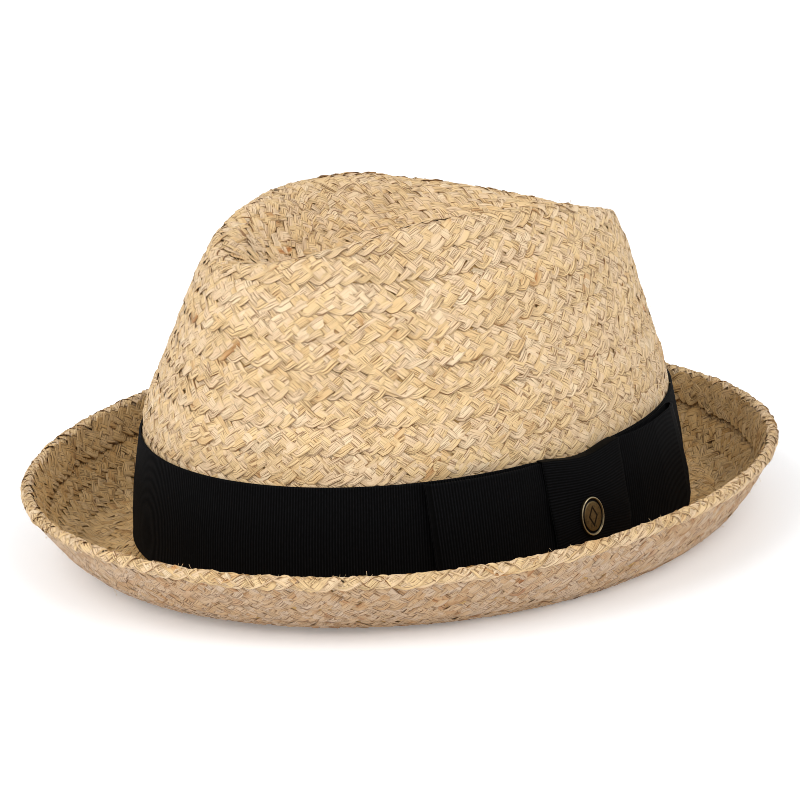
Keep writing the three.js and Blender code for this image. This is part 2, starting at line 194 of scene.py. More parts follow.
def along_curve(points, place):
    """Points and tangents of centripetal Catmull-Rom curves, at a place counted in stretches."""
    last = points.shape[-2] - 1
    before = 2 * points[..., :1, :] - points[..., 1:2, :]
    after = 2 * points[..., -1:, :] - points[..., -2:-1, :]
    padded = np.concatenate([before, points, after], -2)
    first = np.minimum(np.floor(place).astype(int), last - 1)
    t = (place - first)[..., None]

    def take(i):
        where = np.broadcast_to((first + i)[..., None], first.shape + (3,))
        return np.take_along_axis(padded, where, -2)

    p0, p1, p2, p3 = (take(i) for i in range(4))
    d0, d1, d2 = (
        (((b - a) ** 2).sum(-1, keepdims=True)) ** 0.25 for a, b in ((p0, p1), (p1, p2), (p2, p3))
    )
    start = ((p1 - p0) / d0 - (p2 - p0) / (d0 + d1) + (p2 - p1) / d1) * d1
    end = ((p2 - p1) / d1 - (p3 - p1) / (d1 + d2) + (p3 - p2) / d2) * d1
    square = -3 * p1 + 3 * p2 - 2 * start - end
    cube = 2 * p1 - 2 * p2 + start + end
    return p1 + t * (start + t * (square + t * cube)), start + t * (2 * square + 3 * t * cube)


def on_straw(angle, place):
    """Points of the straw's outer face in the meridian's plane, with the face's normals there."""
    angle, place = np.broadcast_arrays(np.asarray(angle, float), np.asarray(place, float))
    point, tangent = along_curve(meridian_points(angle[:, 0]), place)
    length = np.hypot(tangent[..., 0], tangent[..., 2])
    normal = np.stack([tangent[..., 2] / length, 0 * length, -tangent[..., 0] / length], -1)
    return point, normal


def in_space(angle, point):
    """Points of meridians as x, y, z in metres."""
    turn = np.radians(angle)
    radius, centre, height = np.moveaxis(point, -1, 0)
    return np.stack([radius * np.sin(turn), centre - radius * np.cos(turn), height], -1) * MM


ridge_left, _ = on_straw(np.array([[90.0]]), np.array([[float(RIDGE_POINT)]]))
print("ridge on the wearer's left, m", in_space(90.0, ridge_left)[0, 0])

# %% [markdown]
# ## One skin to sew the braid on
#
# The braid rows run round the hat at an even spacing, on the crown, on the brim and on the
# inside. A skin that runs from the middle of the dent, down the crown, out along the brim,
# round its edge and back inside to the dent again can be laid flat: one way is the angle
# round the hat, the other the distance along the section. That distance is its UV map, and
# a plait drawn on the flat map follows the hat.

# %% The skin's sections
SKIN_ANGLES = 240
CROWN_ROWS = 130
BRIM_ROWS = 34
LIP_ROWS = 6
EDGE_INSET = 0.09  # the rounded lip starts this far into a meridian's first stretch
TIP_INSET = 0.03  # and the middle of the dent is left open by this much of the last one


def even_section(angle, places, wall, side, rows):
    """One face of the straw in equal steps along each meridian: points, normals, length."""
    point, normal = on_straw(angle, places)
    point = point - normal * wall
    point[..., 0] = np.maximum(point[..., 0], 0)
    steps = np.linalg.norm(np.diff(point, axis=1), axis=-1)
    length = np.concatenate([np.zeros_like(steps[:, :1]), np.cumsum(steps, 1)], 1)
    columns = np.concatenate([point, normal * side], -1)
    made = np.empty((len(point), rows, 6))
    for a, along in enumerate(length):
        for column in range(6):
            made[a, :, column] = np.interp(np.linspace(0, along[-1], rows), along, columns[a, :, column])
    return made[..., :3], made[..., 3:], length[:, -1]


def lip_section(angle):
    """The rounded edge of the brim, from its upper face to its underside."""
    start = np.full_like(angle, EDGE_INSET)
    point, normal = on_straw(angle, start)
    outwards = np.stack([normal[..., 2], 0 * normal[..., 0], -normal[..., 0]], -1)
    turn = np.linspace(0, np.pi, LIP_ROWS)[None, :, None]
    half = mix(BRIM_EDGE_WALL, STRAW_WALL, EDGE_INSET) / 2
    facing = normal * np.cos(turn) + outwards * np.sin(turn)
    return point - normal * half + facing * half, facing, np.full(len(angle), np.pi * half)


fine = np.linspace(0, 1, 400)[None]
from_tip = TIP - TIP_INSET + (FOOT - TIP + TIP_INSET) * fine
from_foot = FOOT + (EDGE_INSET - FOOT) * fine
angles_round = np.linspace(0, 360, SKIN_ANGLES + 1)[:, None]
wall_at = mix(BRIM_EDGE_WALL, STRAW_WALL, np.minimum(1, from_foot))[..., None]
sections = [
    even_section(angles_round, from_tip, 0, 1, CROWN_ROWS),
    even_section(angles_round, from_foot, 0, 1, BRIM_ROWS),
    lip_section(angles_round),
    even_section(angles_round, from_foot[:, ::-1], wall_at[:, ::-1], -1, BRIM_ROWS),
    even_section(angles_round, from_tip[:, ::-1], STRAW_WALL, -1, CROWN_ROWS),
]
# Distances along the skin at the ends of its stretches, the same at every angle
REACHED = np.concatenate([[0], np.cumsum([section[2].mean() for section in sections])])
FOOT_OUT, LIP_OUT, LIP_IN, FOOT_IN, TIP_IN = REACHED[1:]
print("distance along the skin, mm", REACHED.round(1))

# %% [markdown]
# On the crown's side the rows keep their distance from the ribbon, so there the distance
# along the skin is the true one. Further in, where the ovals close round the dent's middle,
# it is eased so that every meridian ends at the same distance.

# %% The skin's mesh
SKIN_UV = "skin"
TRUE_SHARE = 0.35  # up to this share of the way from the foot to the tip the distance is the true one


def eased(rows, lengths, from_foot_to_tip):
    """The distance along the skin of each row of a crown section, counted from the foot."""
    mean = lengths.mean()
    share = np.linspace(0, 1, rows)[None]
    if not from_foot_to_tip:
        share = 1 - share
    true = share * lengths[:, None]
    blend = np.clip((share - TRUE_SHARE) / (1 - TRUE_SHARE), 0, 1)
    blend = blend * blend * (3 - 2 * blend)
    return true + (mean - lengths[:, None]) * blend


points, normals, distances = [], [], []
for number, (point, normal, lengths) in enumerate(sections):
    rows = point.shape[1]
    if number == 0:
        distance = FOOT_OUT - eased(rows, lengths, False)
    elif number == 4:
        distance = FOOT_IN + eased(rows, lengths, True)
    else:
        distance = np.broadcast_to(np.linspace(REACHED[number], REACHED[number + 1], rows), point.shape[:2])
    keep = slice(0 if number == 0 else 1, None)
    points.append(point[:, keep])
    normals.append(normal[:, keep])
    distances.append(distance[:, keep])
skin_points = np.concatenate(points, 1)
skin_normals = np.concatenate(normals, 1)
skin_normals /= np.linalg.norm(skin_normals, axis=-1, keepdims=True)
skin_distance = np.concatenate(distances, 1)
skin_xyz = in_space(angles_round, skin_points)


def facing_of(xyz, rough):
    """The true normals of a closed grid of points, on the side that the rough ones point to."""
    ring = np.concatenate([xyz[-2:-1], xyz, xyz[1:2]])
    around = ring[2:] - ring[:-2]
    along = np.gradient(xyz, axis=1)
    made = np.cross(around, along)
    made /= np.maximum(np.linalg.norm(made, axis=-1, keepdims=True), 1e-12)
    return made * np.sign((made * rough).sum(-1, keepdims=True))


skin_facing = facing_of(skin_xyz, in_space(angles_round, skin_normals))


def grid_mesh(name, xyz, closed, capped=False):
    """A mesh of quads over a grid of points, whose first and last columns join if it is closed."""
    columns, rows = xyz.shape[:2]
    around = columns - 1 if closed else columns
    first, second = np.meshgrid(np.arange(columns - 1), np.arange(rows - 1), indexing="ij")
    corners = [(first, second), (first, second + 1), (first + 1, second + 1), (first + 1, second)]
    faces = np.stack([(c % around) * rows + r for c, r in corners], -1).reshape(-1, 4).tolist()
    if capped:
        faces.append([c * rows for c in range(around)])
        faces.append([c * rows + rows - 1 for c in reversed(range(around))])
    mesh = bpy.data.meshes.new(name)
    mesh.from_pydata(xyz[:around].reshape(-1, 3), [], faces)
    corner_place = np.stack([c * rows + r for c, r in corners], -1).reshape(-1)
    return mesh, corner_place


skin_mesh, corner_place = grid_mesh("straw_skin", skin_xyz, closed=True)
uv = np.stack([np.broadcast_to(angles_round / 360, skin_distance.shape), skin_distance / TIP_IN], -1)
layer = skin_mesh.uv_layers.new(name=SKIN_UV)
layer.data.foreach_set("uv", uv.reshape(-1, 2)[corner_place].reshape(-1).astype(np.float32))
store(skin_mesh, "facing", skin_facing[:-1].reshape(-1, 3))
skin = in_scene("straw_skin", skin_mesh)
print("skin", len(skin_mesh.polygons), "faces")


def skin_at(turn, distance):
    """Points of the skin at a number of turns round the hat and a distance along the skin."""
    column = np.mod(turn, 1) * SKIN_ANGLES
    first = np.minimum(np.floor(column).astype(int), SKIN_ANGLES - 1)
    made = np.empty((len(turn), 3))
    share = column - first
    for i in range(len(turn)):
        ends = []
        for a in (first[i], first[i] + 1):
            along = skin_distance[a]
            row = np.clip(np.searchsorted(along, distance[i]) - 1, 0, len(along) - 2)
            t = (distance[i] - along[row]) / (along[row + 1] - along[row])
            ends.append(mix(skin_xyz[a, row], skin_xyz[a, row + 1], t))
        made[i] = mix(ends[0], ends[1], share[i])
    return made


# %% [markdown]
# ## The plait
#
# Each row is a flat plait of five split straws. Every straw runs slantwise from one edge of
# the plait to the other and back, and goes over one neighbour and under the next. Geometry
# Nodes make it: the row's path is copied once for each straw, two small curves give its
# place across the plait and its height over one whole turn, and the skin's flat map carries
# the result onto the hat.

# %% Helpers for node trees
def fill_sockets(tree, node, values):
    """Gives a node's input sockets their values, or links them to a socket or a node's first output."""
    for key, value in values.items():
        if isinstance(value, bpy.types.Node):
            value = value.outputs[0]
        if isinstance(value, bpy.types.NodeSocket):
            tree.links.new(value, node.inputs[key])
        else:
            node.inputs[key].default_value = value


def add(tree, kind, *inputs, **settings):
    """Adds a node. Its sockets are filled in order, or by name from a dict, with values or links."""
    made = tree.nodes.new(kind)
    for key, value in settings.items():
        setattr(made, key, value)
    fill_sockets(tree, made, dict(enumerate(i for i in inputs if not isinstance(i, dict))))
    for named in inputs:
        if isinstance(named, dict):
            fill_sockets(tree, made, named)
    return made


def new_tree(name, sockets):
    """A geometry node tree with named inputs, its input sockets and its output node."""
    tree = bpy.data.node_groups.new(name, "GeometryNodeTree")
    tree.interface.new_socket("Geometry", in_out="INPUT", socket_type="NodeSocketGeometry")
    for title, kind in sockets:
        tree.interface.new_socket(title, in_out="INPUT", socket_type="NodeSocket" + kind)
    tree.interface.new_socket("Geometry", in_out="OUTPUT", socket_type="NodeSocketGeometry")
    return tree, tree.nodes.new("NodeGroupInput").outputs, tree.nodes.new("NodeGroupOutput")


def shape_curve(node, points, handle):
    """Draws a curve node through points from left to right."""
    curve = node.mapping.curves[0]
    node.mapping.use_clip = False
    while len(curve.points) < len(points):
        curve.points.new(0.5, 0.5)
    for point, (x, y) in zip(sorted(curve.points, key=lambda p: p.location[0]), points):
        point.location = (x, y)
        point.handle_type = handle
    node.mapping.update()


# %% Sizes of the plait, in millimetres
STRAWS = 5
ROW_PITCH = 9.4  # from row to row, as they show
PLAIT_WIDTH = 8.8  # across the plait, between the straws' middle lines at its edges
STRAW_WIDTH = 3.5
STRAW_THICKNESS = 0.2
CROSSING = 4.6  # from one crossing to the next along the row
STRAW_LIFT = 0.17  # how far a straw rises over its neighbours and dips under them
LAP = 0.55  # how much higher a row's outer edge lies than its inner edge
DEPTH = 0.3  # the plait's middle under the form's surface
PLUMP = 0.5  # how much lower than its middle the plait's edges lie
WANDER = 3.0  # how far rows stray sideways, from end to end of the noise
OWN_WANDER = 0.6  # and how far a straw strays by itself, as a share of that
SLIP = 1.9  # how far a straw's crossings slip along the row, in crossings
UNEVEN_WIDTH = 1.9  # how much a straw's width varies, as a share of itself
ROLL = 0.6  # how far a straw rolls about its length, in radians
UPPER_SHARE = 0.86  # of a straw's width that its flat upper face takes
# Columns: shift of the noise, its changes in a metre of row, its detail
OWN_NOISES = [
    (0.0, 110.0, 1.0),  # stray
    (3.1, 60.0, 0.0),  # slip
    (5.1, 75.0, 1.0),  # width
    (9.7, 150.0, 0.0),  # height
    (13.3, 90.0, 0.0),  # roll
]
STRAW_SHIFT = 17.3  # from straw to straw in the noise, far enough that no two are alike
ROW_SHIFT = 77.0
ROW_CHANGES = 28.0  # changes in a metre of row of the noise by which all five straws stray
SKIN_EDGE = 0.0005  # the share of the flat map that is kept clear at its two ends
print("a straw's whole turn takes", STRAWS * CROSSING, "mm of row")


# %% The plait's tree
def plait_tree():
    tree, given, result = new_tree("plait", [
        ("Skin", "Object"), ("Straws", "Int"), ("Crossing", "Float"), ("Plait Width", "Float"),
        ("Straw Width", "Float"), ("Straw Thickness", "Float"), ("Lift", "Float"), ("Depth", "Float"),
        ("Lap", "Float"), ("Wander", "Float"), ("Slip", "Float"), ("Roll", "Float"),
        ("Skin Length", "Float"), ("Uneven Width", "Float"), ("Plump", "Float"), ("Own Wander", "Float"),
        ("Seed", "Float"), ("Material", "Material"),
    ])
    path = add(tree, "GeometryNodeMeshToCurve", given["Geometry"])
    copies = add(tree, "GeometryNodeDuplicateElements",
                 {"Geometry": path, "Amount": given["Straws"]}, domain="SPLINE")
    straw = copies.outputs["Duplicate Index"]
    run = add(tree, "GeometryNodeInputNamedAttribute", "run").outputs["Attribute"]

    # Hand-split straws differ, so each has its own slow noises, read along the row
    noises = []
    for shift, scale, detail in OWN_NOISES:
        row = add(tree, "ShaderNodeMath", straw, STRAW_SHIFT, shift, operation="MULTIPLY_ADD")
        vector = add(tree, "ShaderNodeCombineXYZ", run, row, given["Seed"])
        made = add(tree, "ShaderNodeTexNoise", {"Vector": vector, "Scale": scale, "Detail": detail})
        noises.append(add(tree, "ShaderNodeMath", made.outputs["Fac"], 0.5, operation="SUBTRACT"))
    stray, slip, swell, bob, roll = noises
    row_place = add(tree, "ShaderNodeCombineXYZ", run, ROW_SHIFT, given["Seed"])
    row_noise = add(tree, "ShaderNodeTexNoise", {"Vector": row_place, "Scale": ROW_CHANGES, "Detail": 2.0})
    row_stray = add(tree, "ShaderNodeMath", row_noise.outputs["Fac"], 0.5, operation="SUBTRACT")

    # Place across the plait and height over the others, drawn over one whole turn of a straw
    crossings = add(tree, "ShaderNodeMath", run, given["Crossing"], operation="DIVIDE")
    slipped = add(tree, "ShaderNodeMath", slip, given["Slip"], crossings, operation="MULTIPLY_ADD")
    own = add(tree, "ShaderNodeMath", slipped, straw, operation="SUBTRACT")
    turns = add(tree, "ShaderNodeMath", own, given["Straws"], operation="DIVIDE")
    phase = add(tree, "ShaderNodeMath", turns, operation="FRACT")
    across = add(tree, "ShaderNodeFloatCurve", {"Value": phase})
    shape_curve(across, [(0, -0.5), (0.5, 0.5), (1, -0.5)], "VECTOR")
    height = add(tree, "ShaderNodeFloatCurve", {"Value": phase})
    overs = [(0.0, 0.0)]
    for number in range(1, 2 * STRAWS):
        over = 1.0 if (number < STRAWS) == (number % 2 == 1) else -1.0
        overs.append((number / (2 * STRAWS), 0.0 if number == STRAWS else over))
    shape_curve(height, overs + [(1.0, 0.0)], "AUTO")

    # The flat place on the skin, and the skin's point and normal there
    both_stray = add(tree, "ShaderNodeMath", stray, given["Own Wander"], row_stray, operation="MULTIPLY_ADD")
    aside = add(tree, "ShaderNodeMath", across, given["Plait Width"], operation="MULTIPLY")
    off_row = add(tree, "ShaderNodeMath", both_stray, given["Wander"], aside, operation="MULTIPLY_ADD")
    flat = add(tree, "ShaderNodeSeparateXYZ", add(tree, "GeometryNodeInputPosition"))
    skin_place = add(tree, "ShaderNodeMath", flat.outputs["Y"], off_row, operation="ADD")
    along_skin = add(tree, "ShaderNodeMath", skin_place, given["Skin Length"], operation="DIVIDE")
    held = add(tree, "ShaderNodeClamp", {"Value": along_skin, "Min": SKIN_EDGE, "Max": 1 - SKIN_EDGE})
    turn = add(tree, "ShaderNodeMath", flat.outputs["X"], operation="FRACT")
    where = add(tree, "ShaderNodeCombineXYZ", turn, held)
    block = add(tree, "GeometryNodeObjectInfo", {"Object": given["Skin"]}, transform_space="ORIGINAL")
    skin_uv = add(tree, "GeometryNodeInputNamedAttribute", SKIN_UV, data_type="FLOAT_VECTOR")
    facing = add(tree, "GeometryNodeInputNamedAttribute", "facing", data_type="FLOAT_VECTOR")
    surface, outwards = (
        add(tree, "GeometryNodeSampleUVSurface", {
            "Mesh": block.outputs["Geometry"], "Value": value, "UV Map": skin_uv, "Sample UV": where,
        }, data_type="FLOAT_VECTOR")
        for value in (add(tree, "GeometryNodeInputPosition"), facing)
    )

    # The row is plump, its outer edge lies on the next row and its inner edge under the row before
    raised = add(tree, "ShaderNodeMath", height, bob, operation="ADD")
    lapped = add(tree, "ShaderNodeMath", across, given["Lap"], operation="MULTIPLY")
    level = add(tree, "ShaderNodeMath", raised, given["Lift"], lapped, operation="MULTIPLY_ADD")
    from_middle = add(tree, "ShaderNodeMath", across, across, operation="MULTIPLY")
    fourfold = add(tree, "ShaderNodeMath", from_middle, 4.0, operation="MULTIPLY")
    down = add(tree, "ShaderNodeMath", fourfold, given["Plump"], given["Depth"], operation="MULTIPLY_ADD")
    sunk = add(tree, "ShaderNodeMath", level, down, operation="SUBTRACT")
    lifted = add(tree, "ShaderNodeVectorMath", {0: outwards, "Scale": sunk}, operation="SCALE")
    placed = add(tree, "ShaderNodeVectorMath", surface, lifted, operation="ADD")
    # The normals are set while the path is still flat, because they are looked up by its flat place
    turned = add(tree, "GeometryNodeSetCurveNormal", {"Curve": copies, "Normal": outwards}, mode="FREE")
    tilt = add(tree, "ShaderNodeMath", roll, given["Roll"], operation="MULTIPLY")
    rolled = add(tree, "GeometryNodeSetCurveTilt", {"Curve": turned, "Tilt": tilt})
    kept = add(tree, "GeometryNodeSetPosition", {"Geometry": rolled, "Position": placed})
    for name, value in (("straw_id", straw), ("straw_height", height)):
        kept = add(tree, "GeometryNodeStoreNamedAttribute",
                   {"Geometry": kept, "Name": name, "Value": value}, data_type="FLOAT", domain="POINT")

    # A split straw's section: flat underneath, its upper face flat with narrow sloping sides
    bevel = add(tree, "ShaderNodeMath", given["Straw Width"], UPPER_SHARE, operation="MULTIPLY")
    section = add(tree, "GeometryNodeCurvePrimitiveQuadrilateral", {
        "Bottom Width": given["Straw Width"], "Top Width": bevel, "Height": given["Straw Thickness"],
        "Offset": 0.0,
    }, mode="TRAPEZOID")
    upright = add(tree, "GeometryNodeTransform", {"Geometry": section, "Rotation": (0, 0, -math.pi / 2)})
    # Corners with vector handles come out as sharp edges, which keep the upper face flat to the light
    bezier = add(tree, "GeometryNodeCurveSplineType", {"Curve": upright}, spline_type="BEZIER")
    crisp = add(tree, "GeometryNodeCurveSetHandles", {"Curve": bezier},
                handle_type="VECTOR", mode={"LEFT", "RIGHT"})
    corner = add(tree, "ShaderNodeSeparateXYZ", add(tree, "GeometryNodeInputPosition"))
    half = add(tree, "ShaderNodeMath", given["Straw Width"], 2.0, operation="DIVIDE")
    side = add(tree, "ShaderNodeMath", corner.outputs["Y"], half, operation="DIVIDE")
    profile = add(tree, "GeometryNodeStoreNamedAttribute",
                  {"Geometry": crisp, "Name": "straw_side", "Value": side}, data_type="FLOAT", domain="POINT")
    width = add(tree, "ShaderNodeMath", swell, given["Uneven Width"], 1.0, operation="MULTIPLY_ADD")
    swept = add(tree, "GeometryNodeCurveToMesh",
                {"Curve": kept, "Profile Curve": profile, "Scale": width, "Fill Caps": True})
    smooth = add(tree, "GeometryNodeSetShadeSmooth", swept)
    real = add(tree, "GeometryNodeRealizeInstances", smooth)
    dressed = add(tree, "GeometryNodeSetMaterial", {"Geometry": real, "Material": given["Material"]})
    tree.links.new(dressed.outputs[0], result.inputs[0])
    return tree


PLAIT = plait_tree()
print("plait tree", len(PLAIT.nodes), "nodes")


# %% [markdown]
# ## Straw
#
# Split straw is a flat ribbon of dry plant stem. It is pale where the sun bleached it and
# yellow or brown elsewhere, and its fibres run lengthwise as fine lines. Its edges, and the
# stretches that dip under its neighbours, are painted darker as shade. A picture of straw
# could be laid over the hat, but its fibres would run straight through the plait. The plait's
# tree left each point's place along and across its straw, so a pattern drawn on those follows
# every straw over and under its neighbours.

# %% Colours
def linear(code):
    """A colour given as sRGB hex, as the linear numbers that Blender's sockets take."""
    parts = [int(code[i:i + 2], 16) / 255 for i in (1, 3, 5)]
    return tuple(c / 12.92 if c <= 0.04045 else ((c + 0.055) / 1.055) ** 2.4 for c in parts) + (1.0,)


def new_material(name):
    """A material whose tree has only its shader and output; returns it, its tree and its shader."""
    made = bpy.data.materials.new(name)
    made.use_nodes = True
    return made, made.node_tree, made.node_tree.nodes["Principled BSDF"]


def object_place(tree):
    return add(tree, "ShaderNodeTexCoord").outputs["Object"]


def colour_stops(ramp, stops):
    elements = ramp.color_ramp.elements
    while len(elements) < len(stops):
        elements.new(0.5)
    for element, (place, code) in zip(elements, stops):
        element.position = place
        element.color = linear(code)


print("bleached straw in linear light", linear("#e6c795"))


# %% Split straw
FIBRE_WIDTH = 0.34  # mm across a bundle of fibres; single ones are too fine to show, so bundles are drawn
FIBRE_LENGTH = 9.0
SPLIT_WIDTH = 0.8  # mm between the lines where a straw has split
SPLIT_LENGTH = 16.0
TONE_WIDTH = 7.0
TONE_LENGTH = 21.0  # mm of straw over which its colour stays the same
BATCH_LENGTH = 170.0  # mm of row over which the plaiter used straw of one batch
TONE_SHIFT = 13.7  # from straw to straw in the patterns
GREYED = 0.26  # how far a batch turns to the grey of old straw at most
# How far these turn to the shadow's colour; the edges and covered stretches are painted shade
FIBRE_LINE = 0.38
SPLIT_LINE = 0.85
EDGE_SHADE = 0.42
COVERED_SHADE = 0.22
EDGE_SHADE_POWER = 9.0  # the higher, the narrower the darkened edge
FIBRE_RELIEF = 0.3  # mm
SPLIT_RELIEF = -1.5  # how much a split cuts into the fibres' relief


def split_straw(name, stops, shadow, grey):
    """Dry split stem, dull to the eye: fine lines, darker splits, painted shade at its edges and under its
    neighbours.
    """
    material, tree, shader = new_material(name)
    run, side, number, height = (
        add(tree, "ShaderNodeAttribute", attribute_name=key).outputs["Fac"]
        for key in ("run", "straw_side", "straw_id", "straw_height")
    )
    across = add(tree, "ShaderNodeMath", side, STRAW_WIDTH / 2, operation="MULTIPLY")
    along = add(tree, "ShaderNodeMath", run, MM, operation="DIVIDE")
    lane = add(tree, "ShaderNodeMath", number, TONE_SHIFT, operation="MULTIPLY")
    patterns = []
    for wide, long, detail in (
        (FIBRE_WIDTH, FIBRE_LENGTH, 3.0), (SPLIT_WIDTH, SPLIT_LENGTH, 1.0), (TONE_WIDTH, TONE_LENGTH, 2.0),
    ):
        x = add(tree, "ShaderNodeMath", across, wide, operation="DIVIDE")
        y = add(tree, "ShaderNodeMath", along, long, operation="DIVIDE")
        place = add(tree, "ShaderNodeCombineXYZ", x, y, lane)
        made = add(tree, "ShaderNodeTexNoise",
                   {"Vector": place, "Scale": 1.0, "Detail": detail, "Roughness": 0.6})
        patterns.append(made.outputs["Fac"])
    fibres, splits, tones = patterns
    row_place = add(tree, "ShaderNodeMath", along, BATCH_LENGTH, operation="DIVIDE")
    batches = add(tree, "ShaderNodeTexNoise",
                  {"W": row_place, "Scale": 1.0, "Detail": 2.0}, noise_dimensions="1D").outputs["Fac"]
    ramp = add(tree, "ShaderNodeValToRGB", tones)
    colour_stops(ramp, stops)
    greyed = add(tree, "ShaderNodeMapRange",
                 {"Value": batches, "From Min": 0.42, "From Max": 0.66, "To Min": 0.0, "To Max": GREYED})
    base = add(tree, "ShaderNodeMix", {
        "Factor": greyed.outputs[0], "A": ramp, "B": linear(grey),
    }, data_type="RGBA").outputs[2]
    # Fine fibre lines, the thin shadow where a straw has split, and painted shade along its edges
    line = add(tree, "ShaderNodeMapRange",
               {"Value": fibres, "From Min": 0.5, "From Max": 0.28, "To Min": 0.0, "To Max": FIBRE_LINE})
    off_middle = add(tree, "ShaderNodeMath", splits, 0.5, operation="SUBTRACT")
    near = add(tree, "ShaderNodeMath", off_middle, operation="ABSOLUTE")
    split = add(tree, "ShaderNodeMapRange",
                {"Value": near, "From Min": 0.035, "From Max": 0.0, "To Min": 0.0, "To Max": SPLIT_LINE})
    from_middle = add(tree, "ShaderNodeMath", side, operation="ABSOLUTE")
    rim = add(tree, "ShaderNodeMath", from_middle, EDGE_SHADE_POWER, operation="POWER")
    marks = add(tree, "ShaderNodeMath", line.outputs[0], split.outputs[0], operation="MAXIMUM")
    shade = add(tree, "ShaderNodeMath", rim, EDGE_SHADE, marks, operation="MULTIPLY_ADD", use_clamp=True)
    lined = add(tree, "ShaderNodeMix", {"Factor": shade, "A": base, "B": linear(shadow)}, data_type="RGBA")
    # Painted shade: a straw is darker where it dips under its neighbours than where it lies on top
    under = add(tree, "ShaderNodeMapRange",
                {"Value": height, "From Min": 0.2, "From Max": -1.0, "To Min": 0.0, "To Max": COVERED_SHADE})
    colour = add(tree, "ShaderNodeMix", {
        "Factor": under.outputs[0], "A": lined.outputs[2], "B": linear(shadow),
    }, data_type="RGBA")
    relief = add(tree, "ShaderNodeMath", split.outputs[0], SPLIT_RELIEF, fibres, operation="MULTIPLY_ADD")
    bump = add(tree, "ShaderNodeBump", {"Height": relief, "Strength": 0.7, "Distance": FIBRE_RELIEF * MM})
    fill_sockets(tree, shader, {
        "Base Color": colour.outputs[2], "Normal": bump, "Roughness": 0.6, "Specular IOR Level": 0.3,
    })
    return material


CROWN_STRAW = split_straw("split_straw", [
    (0.24, "#b27238"), (0.33, "#dcb783"), (0.46, "#e6c795"), (0.56, "#e4c6a0"),
    (0.68, "#eed6b0"), (0.78, "#dab995"),
], "#7c5023", "#cfb28a")
# The underside's straw is pinker, its own colour, and a little darker as painted shade
UNDER_STRAW = split_straw("split_straw_under_pink_shaded", [
    (0.26, "#985f2b"), (0.36, "#bb9266"), (0.48, "#c6a57e"), (0.58, "#c7ac8f"),
    (0.7, "#cfb69a"), (0.8, "#b9946e"),
], "#684118", "#cdb6a0")
# The brim's upper side takes a darker, browner copy of the straw: painted shade, for the shade that falls
# there
BRIM_STRAW = split_straw("split_straw_brim_shaded", [
    (0.26, "#98682f"), (0.37, "#c99b5c"), (0.5, "#dab276"), (0.64, "#dcb783"), (0.76, "#c99f6c"),
], "#523210", "#b09670")
print("split straw", [m.name for m in (CROWN_STRAW, UNDER_STRAW, BRIM_STRAW)])


# %% Unsorted straw
def mottled(name, patch, dark, light):
    """Straw too small or too hidden to show its fibres: dull, and mottled in patches of a few mm."""
    material, tree, shader = new_material(name)
    spots = add(tree, "ShaderNodeTexNoise",
                {"Vector": object_place(tree), "Scale": 1 / (patch * MM), "Detail": 3.0}).outputs["Fac"]
    tint = add(tree, "ShaderNodeValToRGB", spots)
    colour_stops(tint, [(0.32, dark), (0.66, light)])
    fill_sockets(tree, shader, {"Base Color": tint, "Roughness": 0.8, "Specular IOR Level": 0.2})
    return material


CORE_STRAW = mottled("straw_in_shadow", 2.0, "#94703c", "#c8a36c")
LOOSE_FIBRE = mottled("loose_straw_fibre", 11.0, "#a8824f", "#e9d6ae")
print("unsorted straw", [m.name for m in (CORE_STRAW, LOOSE_FIBRE)])


# %% Paths of the rows
def spiral(start, end, turns_start, step, ring_first, ring_last):
    """A row path on the flat map from one distance along the skin to another, in even real steps.

    Its distances and step are in mm. It starts at a turn round the hat, and its first and last
    stretch stay level for the turns that the rings say, so that the row closes on itself.
    """
    turns = abs(end - start) / ROW_PITCH
    all_turns = turns + ring_first + ring_last
    fine_turns = np.linspace(0, all_turns, int(all_turns * SKIN_ANGLES) + 2)
    distance = mix(start, end, np.clip((fine_turns - ring_first) / turns, 0, 1))
    xyz = skin_at(fine_turns + turns_start, distance)
    run = np.concatenate([[0], np.cumsum(np.linalg.norm(np.diff(xyz, axis=0), axis=1))])
    even = np.linspace(0, run[-1], int(run[-1] / (step * MM)) + 1)
    return np.interp(even, run, fine_turns + turns_start), np.interp(even, run, distance), even


def mesh_from_tree(name, source, tree, values):
    """Runs a node tree on a mesh and returns the plain mesh object that it makes."""
    carrier = in_scene(name + "_path", source)
    modifier = carrier.modifiers.new("nodes", "NODES")
    modifier.node_group = tree
    for socket in tree.interface.items_tree:
        if socket.in_out == "INPUT" and socket.name in values:
            modifier[socket.identifier] = values[socket.name]
    evaluated = carrier.evaluated_get(bpy.context.evaluated_depsgraph_get())
    mesh = bpy.data.meshes.new_from_object(evaluated)
    bpy.data.objects.remove(carrier)
    made = in_scene(name, mesh)
    count(made)
    return made


# %% Rows of plait, sewn from the dent's middle outwards
INSIDE_WIDER = 1.4  # inside the crown, where the rows are seen from afar, the straws are wider
# The two rows that are folded over the brim's edge lie on top of the others
EDGE_DEPTH = 0.1
FOLD_DEPTH = -0.9
FOLD_LAP = -0.2
EDGE_LAP = 0
EDGE_PLUMP = 0.3
# Under the brim the rows are pressed in flat, because the hat stands on them
UNDER_DEPTH = 0.75
UNDER_PLUMP = 0.3
UNDER_STEEPER = 0.82


